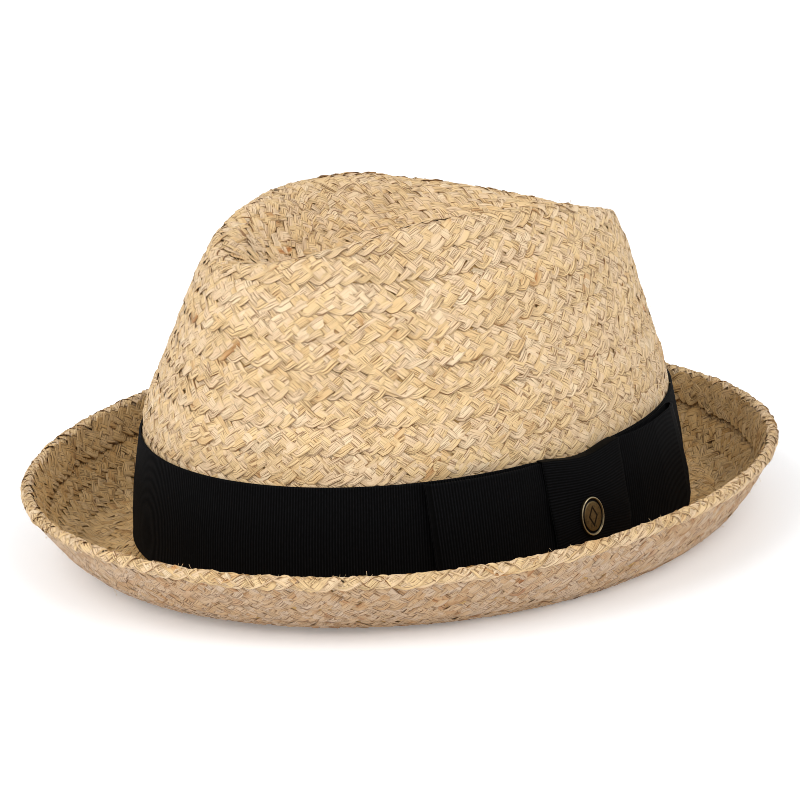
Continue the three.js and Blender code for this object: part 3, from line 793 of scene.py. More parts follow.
def plait_rows(name, path, seed, material, depth=DEPTH, plump=PLUMP, lap=LAP, wider=1, steeper=1):
    """Plaited rows along a path: its turns, its distances along the skin and its run in metres."""
    turn, distance, run = path
    edges = np.stack([np.arange(len(turn) - 1), np.arange(1, len(turn))], 1)
    line = bpy.data.meshes.new(name + "_path")
    line.from_pydata(np.stack([turn, distance * MM, 0 * turn], 1), edges, [])
    store(line, "run", run)
    made = mesh_from_tree(name, line, PLAIT, {
        "Skin": skin, "Straws": STRAWS, "Crossing": CROSSING * wider * steeper * MM,
        "Plait Width": PLAIT_WIDTH * MM, "Straw Width": STRAW_WIDTH * wider * MM,
        "Straw Thickness": STRAW_THICKNESS * MM, "Lift": STRAW_LIFT * MM, "Depth": depth * MM,
        "Lap": lap * MM, "Wander": WANDER * MM, "Slip": SLIP, "Roll": ROLL,
        "Skin Length": TIP_IN * MM, "Uneven Width": UNEVEN_WIDTH, "Plump": plump * MM,
        "Own Wander": OWN_WANDER, "Seed": seed, "Material": material,
    })
    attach(made, "root")
    return made


def part_of(path, share_from, share_to):
    """Part of a path, so that one row can go on from piece to piece."""
    first, last = (round(share * (len(path[0]) - 1)) for share in (share_from, share_to))
    return tuple(column[first:last + 1] for column in path)


RIBBON_UP = FOOT_OUT - 30  # the crown's rows end 30 mm up from its foot, under the ribbon
crown_path = spiral(1.5, RIBBON_UP, turns_start=0, step=0.88, ring_first=0.6, ring_last=0)
brim_path = spiral(FOOT_OUT + 1, LIP_OUT - 9, turns_start=0.6, step=0.9, ring_first=0, ring_last=1.02)
fold_path = spiral(LIP_OUT - 5.3, LIP_OUT - 5.2, turns_start=0.45, step=0.85, ring_first=0.5, ring_last=0.51)
edge_path = spiral(LIP_OUT + 2.2, LIP_OUT + 2.3, turns_start=0.3, step=0.85, ring_first=0.5, ring_last=0.51)
under_path = spiral(LIP_IN + 4, FOOT_IN, turns_start=0.6, step=1.0, ring_first=1.02, ring_last=0)
inside_path = spiral(FOOT_IN, TIP_IN - 1.5, turns_start=0, step=3.0, ring_first=0, ring_last=0)
# The crown's row is halved between two pieces, which go on from one another and share their noise
plait_rows("braid_crown_top", part_of(crown_path, 0, 0.5), seed=1.0, material=CROWN_STRAW)
plait_rows("braid_crown_side", part_of(crown_path, 0.5, 1), seed=1.0, material=CROWN_STRAW)
# Painted shade: the brim's upper rows and the fold row take the darker brim copy; the lip's edge row keeps
# the paler crown straw
plait_rows("braid_brim_top", brim_path, seed=3.0, material=BRIM_STRAW)
plait_rows("braid_brim_fold", fold_path, seed=7.0, material=BRIM_STRAW, depth=FOLD_DEPTH, lap=FOLD_LAP)
plait_rows("braid_brim_edge", edge_path, seed=6.0, material=CROWN_STRAW, depth=EDGE_DEPTH,
           plump=EDGE_PLUMP, lap=EDGE_LAP)
plait_rows("braid_brim_under", under_path, seed=4.0, material=UNDER_STRAW, depth=UNDER_DEPTH,
           plump=UNDER_PLUMP, steeper=UNDER_STEEPER)
plait_rows("braid_inside", inside_path, seed=5.0, material=CROWN_STRAW, wider=INSIDE_WIDER)

# %% [markdown]
# Split straw frays. Short fibres stand up all over the braid and along the edge of the brim,
# too fine to see one by one, but without them the outline looks cut with a knife. One
# curved fibre is scattered over the skin, turned and sized at random.

# %% A frayed fibre and its tree
FIBRE_PER_M2 = 5500
FIBRE_THICKNESS = 0.11
FIBRE_MIDDLE = (1.5 * MM, 0.3 * MM, 0.2 * MM)
FIBRE_END = (2.4 * MM, 0.0, 1.2 * MM)
FIBRE_LEAN = 0.3  # radians off the skin's normal, to each side
FIBRE_SIZES = (0.35, 1.2)


def fray_tree():
    tree, given, result = new_tree("fray", [("Density", "Float"), ("Seed", "Int"), ("Material", "Material")])
    share = add(tree, "GeometryNodeInputNamedAttribute", "fray").outputs["Attribute"]
    density = add(tree, "ShaderNodeMath", share, given["Density"], operation="MULTIPLY")
    spots = add(tree, "GeometryNodeDistributePointsOnFaces",
                {"Mesh": given["Geometry"], "Density": density, "Seed": given["Seed"]})
    bent = add(tree, "GeometryNodeCurveQuadraticBezier", {
        "Resolution": 4, "Start": (0, 0, 0), "Middle": FIBRE_MIDDLE, "End": FIBRE_END,
    })
    ring = add(tree, "GeometryNodeCurvePrimitiveCircle",
               {"Resolution": 3, "Radius": FIBRE_THICKNESS / 2 * MM})
    fibre = add(tree, "GeometryNodeCurveToMesh", {"Curve": bent, "Profile Curve": ring, "Fill Caps": True})
    turn = add(tree, "FunctionNodeRandomValue", {
        "Min": (-FIBRE_LEAN, -FIBRE_LEAN, 0.0), "Max": (FIBRE_LEAN, FIBRE_LEAN, math.tau),
        "Seed": given["Seed"],
    }, data_type="FLOAT_VECTOR")
    turned = add(tree, "FunctionNodeRotateRotation",
                 {"Rotation": spots.outputs["Rotation"], "Rotate By": turn}, rotation_space="LOCAL")
    size = add(tree, "FunctionNodeRandomValue",
               {"Min": FIBRE_SIZES[0], "Max": FIBRE_SIZES[1], "Seed": given["Seed"]})
    scattered = add(tree, "GeometryNodeInstanceOnPoints", {
        "Points": spots.outputs["Points"], "Instance": fibre, "Rotation": turned, "Scale": size.outputs[1],
    })
    real = add(tree, "GeometryNodeRealizeInstances", scattered)
    dressed = add(tree, "GeometryNodeSetMaterial", {"Geometry": real, "Material": given["Material"]})
    tree.links.new(dressed.outputs[0], result.inputs[0])
    return tree


# %% Where the straw frays: most at the brim's edge, not under the ribbon and not on the table
FRAY_ON_CROWN = 1.0
FRAY_ON_BRIM = 1.2
FRAY_ON_EDGE = 12.0
FRAY_ROOT = 0.4  # mm under the skin, so that every fibre starts inside the straw
# Like the rows' places, these are distances along the skin in mm
frayed_rows = skin_distance[:-1]
on_crown = frayed_rows < RIBBON_UP - 8
on_brim = (frayed_rows > FOOT_OUT + 2) & (frayed_rows < LIP_IN + 40)
on_edge = np.abs(frayed_rows - (LIP_OUT + LIP_IN) / 2) < 4
off_table = skin_xyz[:-1, :, 2] > 4 * MM
share = (on_crown * FRAY_ON_CROWN + on_brim * FRAY_ON_BRIM + on_edge * FRAY_ON_EDGE) * off_table
fray_mesh, _ = grid_mesh("fray", skin_xyz - skin_facing * FRAY_ROOT * MM, closed=True)
store(fray_mesh, "fray", share.reshape(-1))
fray = mesh_from_tree("frayed_fibres", fray_mesh, fray_tree(), {
    "Density": FIBRE_PER_M2, "Seed": 3, "Material": LOOSE_FIBRE,
})
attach(fray, "root")

# %% [markdown]
# Between the straws of the outside and the inside lies more straw, which shows only as a
# darker ground in the small gaps of the plait. One closed shell, a little under the skin,
# stands for all of it, so that no light falls through the wall.

# %% The straw inside the wall
CORE_DEPTH = 1.0  # mm under the skin
CORE_EVERY = 3  # it shows only through small gaps, so every third point of the skin will do
core_xyz = (skin_xyz - skin_facing * CORE_DEPTH * MM)[::CORE_EVERY, ::CORE_EVERY]
core_mesh, _ = grid_mesh("straw_core", core_xyz, closed=True, capped=True)
core_mesh.materials.append(CORE_STRAW)
core = in_scene("straw_core", core_mesh)
count(core)
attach(core, "root")
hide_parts("crown_and_brim")

# %% [markdown]
# ## Grosgrain ribbon
#
# Grosgrain is woven with thick cross threads, so close ribs run across the ribbon from one
# selvedge to the other. The hat has three pieces of it: the band round the crown, one
# flattened loop that makes the bow, and a strap round its middle for the knot. Each is a
# grid of points whose outer face carries the ribs, four columns to a rib, because ribs
# that are real relief catch the light at any angle.

# %% Sizes of the ribbon and the bow, in millimetres
RIB_PITCH = 0.9
RIB_HEIGHT = 0.16
CLOTH_THICKNESS = 0.6
BOW_ANGLE = 91.2
BOW_LENGTH = 118
BOW_PUFF = 2.4
KNOT_WIDTH = 35
KNOT_PUFF = 1.8
KNOT_EDGE_PUFF = 0.4
KNOT_TUCK = 2.8
KNOT_TUCK_BELOW = 3.5
GATHER_REACH = 0.6
# Columns: share of the way from the knot's edge to the loop's end, and how full the loop is
LOOP_SECTION = [(0.0, 0.0), (0.2, 0.7), (0.5, 1.0), (0.85, 0.85), (1.0, 0.4)]
BOW_SEAT = 2 * PIECE_GAP + RIBBON_THICKNESS
BOW_RADIUS = float(oval_radius(OVAL_LENGTH, OVAL_WIDTH, BOW_ANGLE))
SELVEDGE = np.array([0.0, 0.004, 0.014, 0.03])  # shares of the width where the edge rounds off
SELVEDGE_DROP = np.array([0.55, 0.2, 0.0, 0.05])  # millimetres that it drops there
RIBBON_SHARES = np.concatenate([SELVEDGE, np.linspace(0.25, 0.75, 3), 1 - SELVEDGE[::-1]])
RIBBON_DROPS = np.concatenate([SELVEDGE_DROP, np.zeros(3), SELVEDGE_DROP[::-1]])
INNER_SHARES = np.array([0.0, 0.35, 0.65, 1.0])
RIB_COLUMNS = 4
print("ribs in the bow's upper layer", round(BOW_LENGTH / RIB_PITCH))


# %% Points on the ribbon
def on_ribbon(angle, up, off):
    """Points by the ribbon's width: up is 0 at its lower edge and 1 at its top, off is off the straw."""
    angle, up, off = np.broadcast_arrays(np.asarray(angle, float), up, off)
    place = np.where(up < FLARE_SHARE, up / FLARE_SHARE, 1 + (up - FLARE_SHARE) / (1 - FLARE_SHARE))
    flat_angle = angle.reshape(-1)
    point, _ = along_curve(meridian_points(flat_angle), FOOT + place.reshape(-1, 1))
    point = point[:, 0].reshape(angle.shape + (3,))
    length = math.hypot(RIBBON_WIDTH, RIBBON_TAPER)
    point[..., 0] += off * RIBBON_WIDTH / length
    point[..., 2] += off * RIBBON_TAPER / length
    return in_space(angle, point)


def angle_along(along):
    return BOW_ANGLE + np.degrees(along / BOW_RADIUS)


def gather_at(angle):
    """How much the knot draws the ribbons in: 1 at its middle, 0 well clear of it."""
    along = np.radians(angle - BOW_ANGLE) * BOW_RADIUS
    return np.cos(np.pi / 2 * np.minimum(1, np.abs(along) / (KNOT_WIDTH * GATHER_REACH))) ** 2


def ribbon_edges(angle, spare=0.0):
    low = (KNOT_TUCK_BELOW * gather_at(angle) - spare) / RIBBON_WIDTH
    return low, 1 - (KNOT_TUCK * gather_at(angle) - spare) / RIBBON_WIDTH


def ribs(along):
    """The relief of the ribs at a distance along the ribbon: round ribs with narrow grooves."""
    place = np.mod(along / RIB_PITCH, 1) * 2 - 1
    return RIB_HEIGHT * (np.sqrt(1 - place ** 2) - 1)


def rib_share(along):
    """0 in the groove between two ribs and 1 along the top of a rib."""
    return (0.5 - 0.5 * np.cos(along / RIB_PITCH * 2 * np.pi)) ** 2


def slack(along, up, size):
    """Soft unevenness of cloth that is laid by hand, in millimetres."""
    waves = np.sin(along / 23 + 2.1 * up) + 0.6 * np.sin(along / 9.5 - 1.3 * up + 0.7)
    return size * (waves + 0.5 * np.sin(along / 41 + 4 * up))


# %% [markdown]
# ### Grosgrain, and the light painted on its ribs
#
# It is dyed black and matt. Its thick cross threads stand up as round ribs. Their tops are
# painted a trace lighter, painted light mixed with some dust, and the grooves between them
# stay quite black, as painted shade. So each ribbon keeps an attribute that runs from 0 in a
# groove to 1 on a rib.

# %% Grosgrain
LINT_SIZE = 1.1  # mm


def grosgrain(name):
    """Ribbed ribbon of dyed yarn: black and matt, with painted light and some dust on the ribs' tops."""
    material, tree, shader = new_material(name)
    dust = add(tree, "ShaderNodeTexNoise",
               {"Vector": object_place(tree), "Scale": 1 / (LINT_SIZE * MM), "Detail": 4.0}).outputs["Fac"]
    rib = add(tree, "ShaderNodeAttribute", attribute_name="rib").outputs["Fac"]
    # Painted light: the ribs' tops turn lighter, broken up by dust, and the grooves stay black as shade
    rib_light_and_dust = add(tree, "ShaderNodeMath", rib, dust, operation="MULTIPLY")
    tint = add(tree, "ShaderNodeMix", {
        "Factor": rib_light_and_dust, "A": linear("#000000"), "B": linear("#19191c"),
    }, data_type="RGBA")
    bump = add(tree, "ShaderNodeBump", {"Height": dust, "Strength": 0.25, "Distance": 0.1 * MM})
    fill_sockets(tree, shader, {
        "Base Color": tint.outputs[2], "Normal": bump, "Roughness": 0.7, "Specular IOR Level": 0.05,
        "Sheen Weight": 0.01, "Sheen Roughness": 0.4,
    })
    return material


RIBBON = grosgrain("grosgrain")
print("ribbon", RIBBON.name)


# %% A piece of cloth from its two faces
def cloth_piece(name, outer, inner, closed, rib):
    """A strip of cloth: columns of points up its outer face and down its inner face, joined round."""
    rings = np.concatenate([outer, inner[:, ::-1]], 1)
    columns, around = rings.shape[:2]
    spans = columns if closed else columns - 1
    i, j = np.meshgrid(np.arange(spans), np.arange(around), indexing="ij")
    after, beside = (i + 1) % columns, (j + 1) % around
    faces = np.stack([i * around + j, after * around + j, after * around + beside, i * around + beside], -1)
    faces = [tuple(f) for f in faces.reshape(-1, 4)]
    if not closed:
        half = around // 2
        for ring, flip in ((0, False), (columns - 1, True)):
            for k in range(half - 1):
                cap = [ring * around + n for n in (k, k + 1, around - 2 - k, around - 1 - k)]
                faces.append(tuple(cap[::-1] if flip else cap))
    mesh = bpy.data.meshes.new(name)
    mesh.from_pydata(rings.reshape(-1, 3), [], faces)
    rib = np.concatenate([np.broadcast_to(rib, outer.shape[:2]), np.full(inner.shape[:2], 0.5)], 1)
    store(mesh, "rib", rib.reshape(-1))
    mesh.validate()
    mesh.shade_smooth()
    mesh.materials.append(RIBBON)
    made = in_scene(name, mesh)
    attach(made, "root")
    count(made)
    return made


# %% The band
BAND_RADIUS = 92  # of the oval on average, which says how many ribs go round it
DEGREE_ROUND = 1.6  # mm of band to a degree
BAND_SLACK = 0.03
RIB_SINK = 0.09  # the ribs' tops lie this far under the solid's face


def hat_band():
    columns = RIB_COLUMNS * round(2 * np.pi * BAND_RADIUS / RIB_PITCH)
    angle = np.linspace(0, 360, columns, endpoint=False)[:, None]
    along = np.arange(columns)[:, None] * RIB_PITCH / RIB_COLUMNS
    low, high = ribbon_edges(angle)
    up = mix(low, high, RIBBON_SHARES[None])
    uneven = slack(angle * DEGREE_ROUND, up, BAND_SLACK)
    off = PIECE_GAP + RIBBON_THICKNESS - RIBBON_DROPS[None] + ribs(along) + uneven
    outer = on_ribbon(angle, up, off - RIB_SINK)
    inner = on_ribbon(angle, mix(low, high, INNER_SHARES[None]), PIECE_GAP)
    return cloth_piece("band_ribbon", outer, inner, True, rib_share(along))


band = hat_band()
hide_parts("hat_band")


# %% [markdown]
# The bow is one loop of ribbon laid flat on the band. Its path is drawn seen from above, as
# a long narrow ring, and every point of it is carried onto the crown. The front fold leans
# and the back fold's lower corner stands off a little, as hand-sewn loops do.

# %% The bow's loop
FRONT_LEAN = 3.8  # how much further forward the front fold is at the ribbon's top edge
FRONT_SHORTER = 1.6  # than the loop is at its back end
END_LIFT = 2.0  # how far the back fold's lower corner stands off the band
END_REACH = 30  # over the last stretch of the loop
END_ROUND = 0.2  # and how much of the width its lower corner is rounded off by
FOLD_STEPS = 12
BOW_SLACK = 0.1
CREASE = 0.35  # the pull of the knot, as creases that die out over CREASE_REACH
CREASE_REACH = 14


def fullness(along):
    out = (np.abs(along) - KNOT_WIDTH / 2) / (BOW_LENGTH / 2 - KNOT_WIDTH / 2)
    outs, fulls = zip(*LOOP_SECTION)
    return np.interp(out, outs, fulls)


def top_of_loop(along):
    return BOW_SEAT + 2 * RIBBON_THICKNESS + PIECE_GAP + BOW_PUFF * fullness(along)


def front_lean(along, up):
    return -FRONT_LEAN * (up - 0.5) * np.clip(-along / (BOW_LENGTH / 2), 0, 1) ** 2


def bow_loop():
    half = BOW_LENGTH / 2
    straight = half - 2 * RIBBON_THICKNESS
    upper = np.arange(FRONT_SHORTER - straight, straight, RIB_PITCH / RIB_COLUMNS)
    fold_height = top_of_loop(straight) - BOW_SEAT
    turns = np.linspace(0, np.pi, FOLD_STEPS)[1:-1]
    fold_along = straight + (half - straight) * np.sin(turns)
    fold_off = BOW_SEAT + fold_height * (0.5 + 0.5 * np.cos(turns))
    along = np.concatenate([upper, fold_along, upper[::-1], FRONT_SHORTER - fold_along[::-1]])[:, None]
    off = np.concatenate([
        top_of_loop(upper), fold_off, np.full_like(upper, BOW_SEAT), fold_off[::-1],
    ])[:, None]
    # The cloth's own direction, which its thickness is measured square to
    path = np.concatenate([along, off], 1)
    way = np.roll(path, -1, 0) - np.roll(path, 1, 0)
    way /= np.linalg.norm(way, axis=1, keepdims=True)
    square = np.stack([-way[:, 1:2], way[:, 0:1]], -1)[:, 0]
    run = np.concatenate([[0], np.cumsum(np.linalg.norm(np.diff(path, axis=0), axis=1))])[:, None]
    low, high = ribbon_edges(angle_along(along))
    to_end = np.clip((along - half + END_REACH) / END_REACH, 0, 1) ** 2
    low = low + END_ROUND * to_end ** 4
    up = mix(low, high, RIBBON_SHARES[None])
    from_knot = (np.abs(along) - KNOT_WIDTH / 2) / CREASE_REACH
    crease = CREASE * np.sin(up * 9 + 1) * np.clip(1 - from_knot, 0, 1)
    on_top = np.clip((off - BOW_SEAT) / 2, 0, 1)
    relief = ribs(run) - RIBBON_DROPS[None] + on_top * (slack(along, up, BOW_SLACK) + crease)
    outer_along = along + front_lean(along, up) + square[:, :1] * relief
    outer_off = off + square[:, 1:] * relief + END_LIFT * to_end * (1 - up)
    outer = on_ribbon(angle_along(outer_along), up, outer_off)
    under = mix(low, high, INNER_SHARES[None])
    inner_along = along + front_lean(along, under) - square[:, :1] * CLOTH_THICKNESS
    inner_off = off - square[:, 1:] * CLOTH_THICKNESS + END_LIFT * to_end * (1 - under)
    inner = on_ribbon(angle_along(inner_along), under, inner_off)
    return cloth_piece("bow_ribbon", outer, inner, True, rib_share(run))


bow = bow_loop()
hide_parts("bow_loop")


# %% [markdown]
# The knot is a strap of the same ribbon, laid the other way: it runs up over the bow, so its
# ribs lie level. It turns in over the bow's two edges and ends on the straw behind them.

# %% The knot
KNOT_LEAN = 3.6  # how far the knot's front edge is drawn in at its foot
KNOT_COLUMNS = 25
KNOT_EDGE = np.array([0, 0.006, 0.02])  # shares of the width where its edge rounds off
KNOT_EDGE_DROP = np.array([0.5, 0.2, 0])  # millimetres that it drops there
KNOT_SWAG = 0.3
TURN_STEPS = 10
TURN_BULGE = 0.006  # how far the turned-in strap stands out, as a share of the ribbon's width
TURN_END = 0.2  # how far over the usual gap to the straw it ends


def knot_seat(across, up):
    """How far off the straw the knot's inner face is."""
    bow_top = BOW_SEAT + 2 * RIBBON_THICKNESS + PIECE_GAP
    crown = np.cos((across - 0.5) * np.pi) * np.sin(np.clip(up, 0, 1) * np.pi)
    return bow_top + PIECE_GAP + KNOT_PUFF * mix(KNOT_EDGE_PUFF, 1, crown)


def bow_knot():
    middle = np.linspace(0.05, 0.95, KNOT_COLUMNS)
    across = np.concatenate([KNOT_EDGE, middle, 1 - KNOT_EDGE[::-1]])[:, None]
    edge_drop = np.concatenate([KNOT_EDGE_DROP, 0 * middle, KNOT_EDGE_DROP[::-1]])[:, None]
    face = np.linspace(0, 1, int(RIB_COLUMNS * RIBBON_WIDTH / RIB_PITCH))[None]
    lean = KNOT_LEAN * (1 - face) ** 1.5 * (1 - across)
    along = (across - 0.5) * KNOT_WIDTH + lean
    angle = angle_along(along)
    low, high = ribbon_edges(angle, PIECE_GAP + CLOTH_THICKNESS)
    up = mix(low, high, face)
    swag = KNOT_SWAG * np.sin(across * 7 + face * 5) * np.sin(face * np.pi)
    seat = knot_seat(across, face) + CLOTH_THICKNESS - edge_drop + ribs(face * RIBBON_WIDTH) + swag
    # The strap turns in over both edges of the bow
    turn = np.linspace(0, 1, TURN_STEPS)[1:][None]
    foot_off = mix(seat[:, :1], PIECE_GAP + TURN_END, turn)
    head_off = mix(seat[:, -1:], PIECE_GAP + TURN_END, turn)
    foot_up = low[:, :1] - TURN_BULGE * np.sin(turn * np.pi)
    head_up = high[:, -1:] + TURN_BULGE * np.sin(turn * np.pi)
    all_up = np.concatenate([foot_up[:, ::-1], up, head_up], 1)
    all_off = np.concatenate([foot_off[:, ::-1], seat, head_off], 1)
    all_angle = np.concatenate([
        np.broadcast_to(angle[:, :1], foot_off.shape), angle, np.broadcast_to(angle[:, -1:], head_off.shape),
    ], 1)
    outer = on_ribbon(all_angle, all_up, all_off)
    # The inner face keeps within the turned-in ends by the cloth's thickness
    thin = CLOTH_THICKNESS / RIBBON_WIDTH
    inner_up = np.clip(all_up, low[:, :1] + thin, high[:, -1:] - thin)
    inner_seat = seat - CLOTH_THICKNESS
    inner_foot = np.minimum(foot_off[:, ::-1], inner_seat[:, :1])
    inner_head = np.minimum(head_off, inner_seat[:, -1:])
    inner = on_ribbon(all_angle, inner_up, np.concatenate([inner_foot, inner_seat, inner_head], 1))
    # The turned-in ends show no ribs, so they get no painted light and stay black
    edge = np.zeros((1, TURN_STEPS - 1))
    rib = np.concatenate([edge, rib_share(face * RIBBON_WIDTH), edge], 1)
    return cloth_piece("knot_ribbon", outer, inner, False, rib)


knot = bow_knot()
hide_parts("bow_knot")

# %% [markdown]
# ## The badge
#
# The badge is a small stamped oval of brass that was darkened and then rubbed, so its
# raised rim is bright, the groove inside it stays nearly black and its face is dull. Its
# section is turned round the oval, a ring of points at a time, and it lies flat on the
# knot. A plain lozenge is engraved in its face, as a colour on the mesh's own flat places.

# %% Sizes of the badge, in millimetres
BADGE_HALF = (6.6, 5.0)  # up the badge and across it
BADGE_UP = 1.1  # above the middle of the solid
BADGE_BACK = 1.1  # behind it
BADGE_OUT = -0.5  # off the crown from it, so this sinks it into the cloth
BADGE_SIDES = 64
BADGE_ANGLE = 90.0
BADGE_SHARE = 0.42  # of the ribbon's width from its lower edge, where the knot's slope is taken
# Columns: share of the half size, height over the badge's middle plane
BADGE_SECTION = [
    (0.0, -1.1), (0.98, -1.1), (1.0, -1.0), (1.0, 0.42), (0.985, 0.72), (0.95, 0.85), (0.915, 0.72),
    (0.89, 0.3), (0.79, 0.3), (0.77, 0.55), (0.7, 0.6), (0.4, 0.66), (0.0, 0.68),
]
BADGE_MIDDLE = tuple((a + b) / 2 for a, b in zip(*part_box("badge_pin")))
print("badge's middle, m", BADGE_MIDDLE)

# %% Aged brass
# Columns: share of the way out to the badge's edge, colour
BRASS_RINGS = [
    (0.0, "#7f6d4e"), (0.74, "#746242"),  # dull face
    (0.78, "#0b0908"), (0.88, "#0b0908"),  # groove
    (0.905, "#6f6149"), (0.95, "#b9ac8d"), (0.975, "#b9ac8d"),  # rubbed rim
    (1.0, "#3d3423"),  # outer side
]
LOZENGE_SIZE = 0.34  # its width, as a share of the badge's
LOZENGE_SLOPE = 0.72  # the lower, the taller it is
TARNISH_SIZE = 1.1  # mm


def aged_brass():
    """Stamped brass, darkened in a bath and rubbed: bright where it stands up, black in the groove."""
    material, tree, shader = new_material("aged_brass")
    reach = add(tree, "ShaderNodeAttribute", attribute_name="reach").outputs["Fac"]
    rings = add(tree, "ShaderNodeValToRGB", reach)
    colour_stops(rings, BRASS_RINGS)
    # The lozenge's line is where the two flat distances from the middle add up to its size
    mark = add(tree, "ShaderNodeAttribute", attribute_name="lozenge").outputs["Vector"]
    sides = add(tree, "ShaderNodeVectorMath", mark, operation="ABSOLUTE")
    size = add(tree, "ShaderNodeVectorMath", sides, (1.0, LOZENGE_SLOPE, 0.0), operation="DOT_PRODUCT")
    off_line = add(tree, "ShaderNodeMath", size.outputs["Value"], LOZENGE_SIZE, operation="SUBTRACT")
    near = add(tree, "ShaderNodeMath", off_line, operation="ABSOLUTE")
    line = add(tree, "ShaderNodeMapRange",
               {"Value": near, "From Min": 0.085, "From Max": 0.05, "To Min": 0.0, "To Max": 0.92})
    tarnish = add(tree, "ShaderNodeTexNoise", {
        "Vector": object_place(tree), "Scale": 1 / (TARNISH_SIZE * MM), "Detail": 5.0,
    }).outputs["Fac"]
    dirty = add(tree, "ShaderNodeMapRange",
                {"Value": tarnish, "From Min": 0.5, "From Max": 0.75, "To Min": 0.0, "To Max": 0.7})
    dark = add(tree, "ShaderNodeMath", line.outputs[0], dirty.outputs[0], operation="MAXIMUM")
    colour = add(tree, "ShaderNodeMix", {
        "Factor": dark, "A": rings.outputs["Color"], "B": linear("#17110b"),
    }, data_type="RGBA")
    rough = add(tree, "ShaderNodeMapRange",
                {"Value": tarnish, "From Min": 0.3, "From Max": 0.7, "To Min": 0.32, "To Max": 0.5})
    bump = add(tree, "ShaderNodeBump", {"Height": tarnish, "Strength": 0.3, "Distance": 0.1 * MM})
    fill_sockets(tree, shader, {
        "Base Color": colour.outputs[2], "Roughness": rough, "Normal": bump, "Metallic": 0.9,
    })
    return material


AGED_BRASS = aged_brass()
print("badge's finish", AGED_BRASS.name)


# %% The badge's mesh
def badge_oval():
    """Rings of points round the badge, from the middle of its back over its rim to its face's."""
    tall, wide = BADGE_HALF
    turn = np.linspace(0, 2 * np.pi, BADGE_SIDES, endpoint=False)[:, None]
    share, height = np.array(BADGE_SECTION[1:-1]).T[:, None]
    base, above, off = (
        on_ribbon(np.array([BADGE_ANGLE]), BADGE_SHARE + up, out)[0] for up, out in ((0, 0), (0.1, 0), (0, 1))
    )
    upwards = (above - base) / np.linalg.norm(above - base)
    outwards = (off - base) / np.linalg.norm(off - base)
    aside = np.cross(upwards, outwards)
    flat = np.stack([wide * np.cos(turn) * share, tall * np.sin(turn) * share, 0 * turn + height], -1)
    ends = np.array([[0, 0, BADGE_SECTION[0][1]], [0, 0, BADGE_SECTION[-1][1]]])
    flat = np.concatenate([flat.reshape(-1, 3), ends])
    middle = np.array(BADGE_MIDDLE) + (upwards * BADGE_UP + aside * BADGE_BACK + outwards * BADGE_OUT) * MM
    xyz = middle + flat @ np.stack([aside, upwards, outwards]) * MM
    rings = len(BADGE_SECTION) - 2
    faces = []
    for i in range(BADGE_SIDES):
        k = (i + 1) % BADGE_SIDES
        faces.append((BADGE_SIDES * rings, k * rings, i * rings))
        for j in range(rings - 1):
            faces.append((i * rings + j, k * rings + j, k * rings + j + 1, i * rings + j + 1))
        faces.append((i * rings + rings - 1, k * rings + rings - 1, BADGE_SIDES * rings + 1))
    mesh = bpy.data.meshes.new("badge_oval")
    mesh.from_pydata(xyz, [], faces)
    mesh.shade_smooth()
    reach = np.hypot(flat[:, 0] / wide, flat[:, 1] / tall)
    store(mesh, "reach", reach)
    store(mesh, "lozenge", np.stack([flat[:, 0] / wide, flat[:, 1] / tall, 0 * reach], 1))
    mesh.materials.append(AGED_BRASS)
    return in_scene("badge_oval", mesh)


badge = badge_oval()
count(badge)
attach(badge, "root")
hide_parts("badge_pin")

# %% [markdown]
# ## Camera, floor and light
#
# The camera stands where the photo's camera stood: its direction, distance and focal length
# were solved from the outline of the brim and the crown. The hat was photographed on white
# paper in a bright white room, so the set here is a white floor, an even white surrounding
# and two large soft lights, one from the front and one from the wearer's left.

# %% Camera
AZIMUTH = 49.24  # degrees from the front, towards the wearer's left
ELEVATION = 19.211
CAMERA_ROLL = math.radians(-2.455)
CAMERA_DISTANCE = 1.6
FOCAL_MM = 206.7
LOOK_RIGHT = -4.497  # mm from the hat's middle to the middle of the picture
LOOK_UP = 41.55
FIT_MIDDLE = Vector((0, 3.6, 0)) * MM


def direction(azimuth, elevation):
    """The way from the hat to what stands at an azimuth from its front and an elevation."""
    around, above = math.radians(azimuth), math.radians(elevation)
    return Vector((math.sin(around) * math.cos(above), -math.cos(around) * math.cos(above), math.sin(above)))


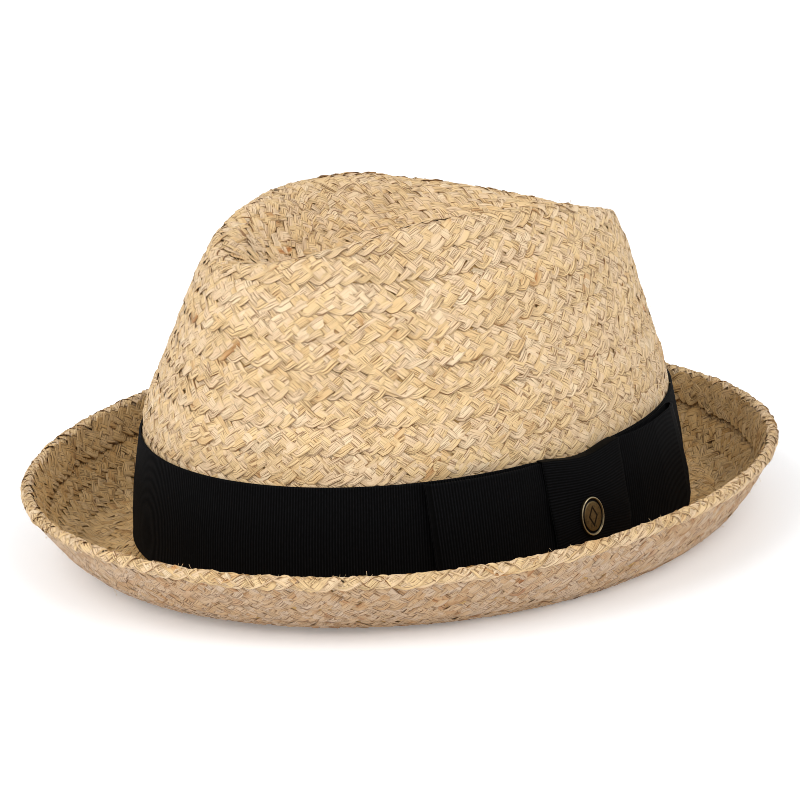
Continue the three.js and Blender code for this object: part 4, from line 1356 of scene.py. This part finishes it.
def place_camera():
    back = direction(AZIMUTH, ELEVATION)
    right = direction(AZIMUTH + 90, 0)
    up = back.cross(right)
    tilted_right = math.cos(CAMERA_ROLL) * right + math.sin(CAMERA_ROLL) * up
    tilted_up = -math.sin(CAMERA_ROLL) * right + math.cos(CAMERA_ROLL) * up
    aim = FIT_MIDDLE + (tilted_right * LOOK_RIGHT + tilted_up * LOOK_UP) * MM
    place = FIT_MIDDLE + back * CAMERA_DISTANCE
    z_axis = (place - aim).normalized()
    x_axis = tilted_up.cross(z_axis).normalized()
    y_axis = z_axis.cross(x_axis)
    camera = in_scene("camera", bpy.data.cameras.new("camera"))
    camera.data.lens = FOCAL_MM
    camera.matrix_world = Matrix.Translation(place) @ Matrix((x_axis, y_axis, z_axis)).transposed().to_4x4()
    bpy.context.scene.camera = camera
    print("camera at", place)


place_camera()

# %% Floor
PAPER_SIZE = 4  # metres from the middle to each side
PAPER_GLOW = 0.17  # stands for the light that the rest of a bigger white sweep would throw back
floor_mesh = bpy.data.meshes.new("floor")
corners = [(x * PAPER_SIZE, y * PAPER_SIZE, 0) for x, y in ((-1, -1), (1, -1), (1, 1), (-1, 1))]
floor_mesh.from_pydata(corners, [], [(0, 1, 2, 3)])
floor = in_scene("floor", floor_mesh)
paper, paper_tree, paper_shader = new_material("white_paper")
fill_sockets(paper_tree, paper_shader, {
    "Base Color": linear("#f7f9fc"), "Emission Color": linear("#ffffff"), "Emission Strength": PAPER_GLOW,
})
floor_mesh.materials.append(paper)
print("floor", 2 * PAPER_SIZE, "m wide")

# %% Light
ROOM_LIGHT = 0.68
PIXEL_FILTER = 0.9  # straw is full of hard little edges, and the default width blurs them
world = bpy.data.worlds.new("studio")
world.use_nodes = True
room = world.node_tree.nodes["Background"]
fill_sockets(world.node_tree, room, {"Color": linear("#ffffff"), "Strength": ROOM_LIGHT})
scene = bpy.context.scene
scene.world = world
scene.view_settings.view_transform = "Standard"
scene.cycles.filter_width = PIXEL_FILTER


def soft_light(name, azimuth, elevation, distance, size, power):
    """A square softbox aimed at the hat, its azimuth counted from the front to the wearer's left."""
    lamp = in_scene(name, bpy.data.lights.new(name, "AREA"))
    lamp.data.size = size
    lamp.data.energy = power
    lamp.location = direction(azimuth, elevation) * distance
    lamp.rotation_euler = (-lamp.location).to_track_quat("-Z", "Y").to_euler()
    print(name, "light of", power, "W, metres wide:", size)


soft_light("key", azimuth=-12, elevation=45, distance=4, size=3.2, power=86)
soft_light("fill", azimuth=92, elevation=45, distance=4, size=2.6, power=62)

# %% The end
bpy.data.objects.remove(skin)  # the block has done its work
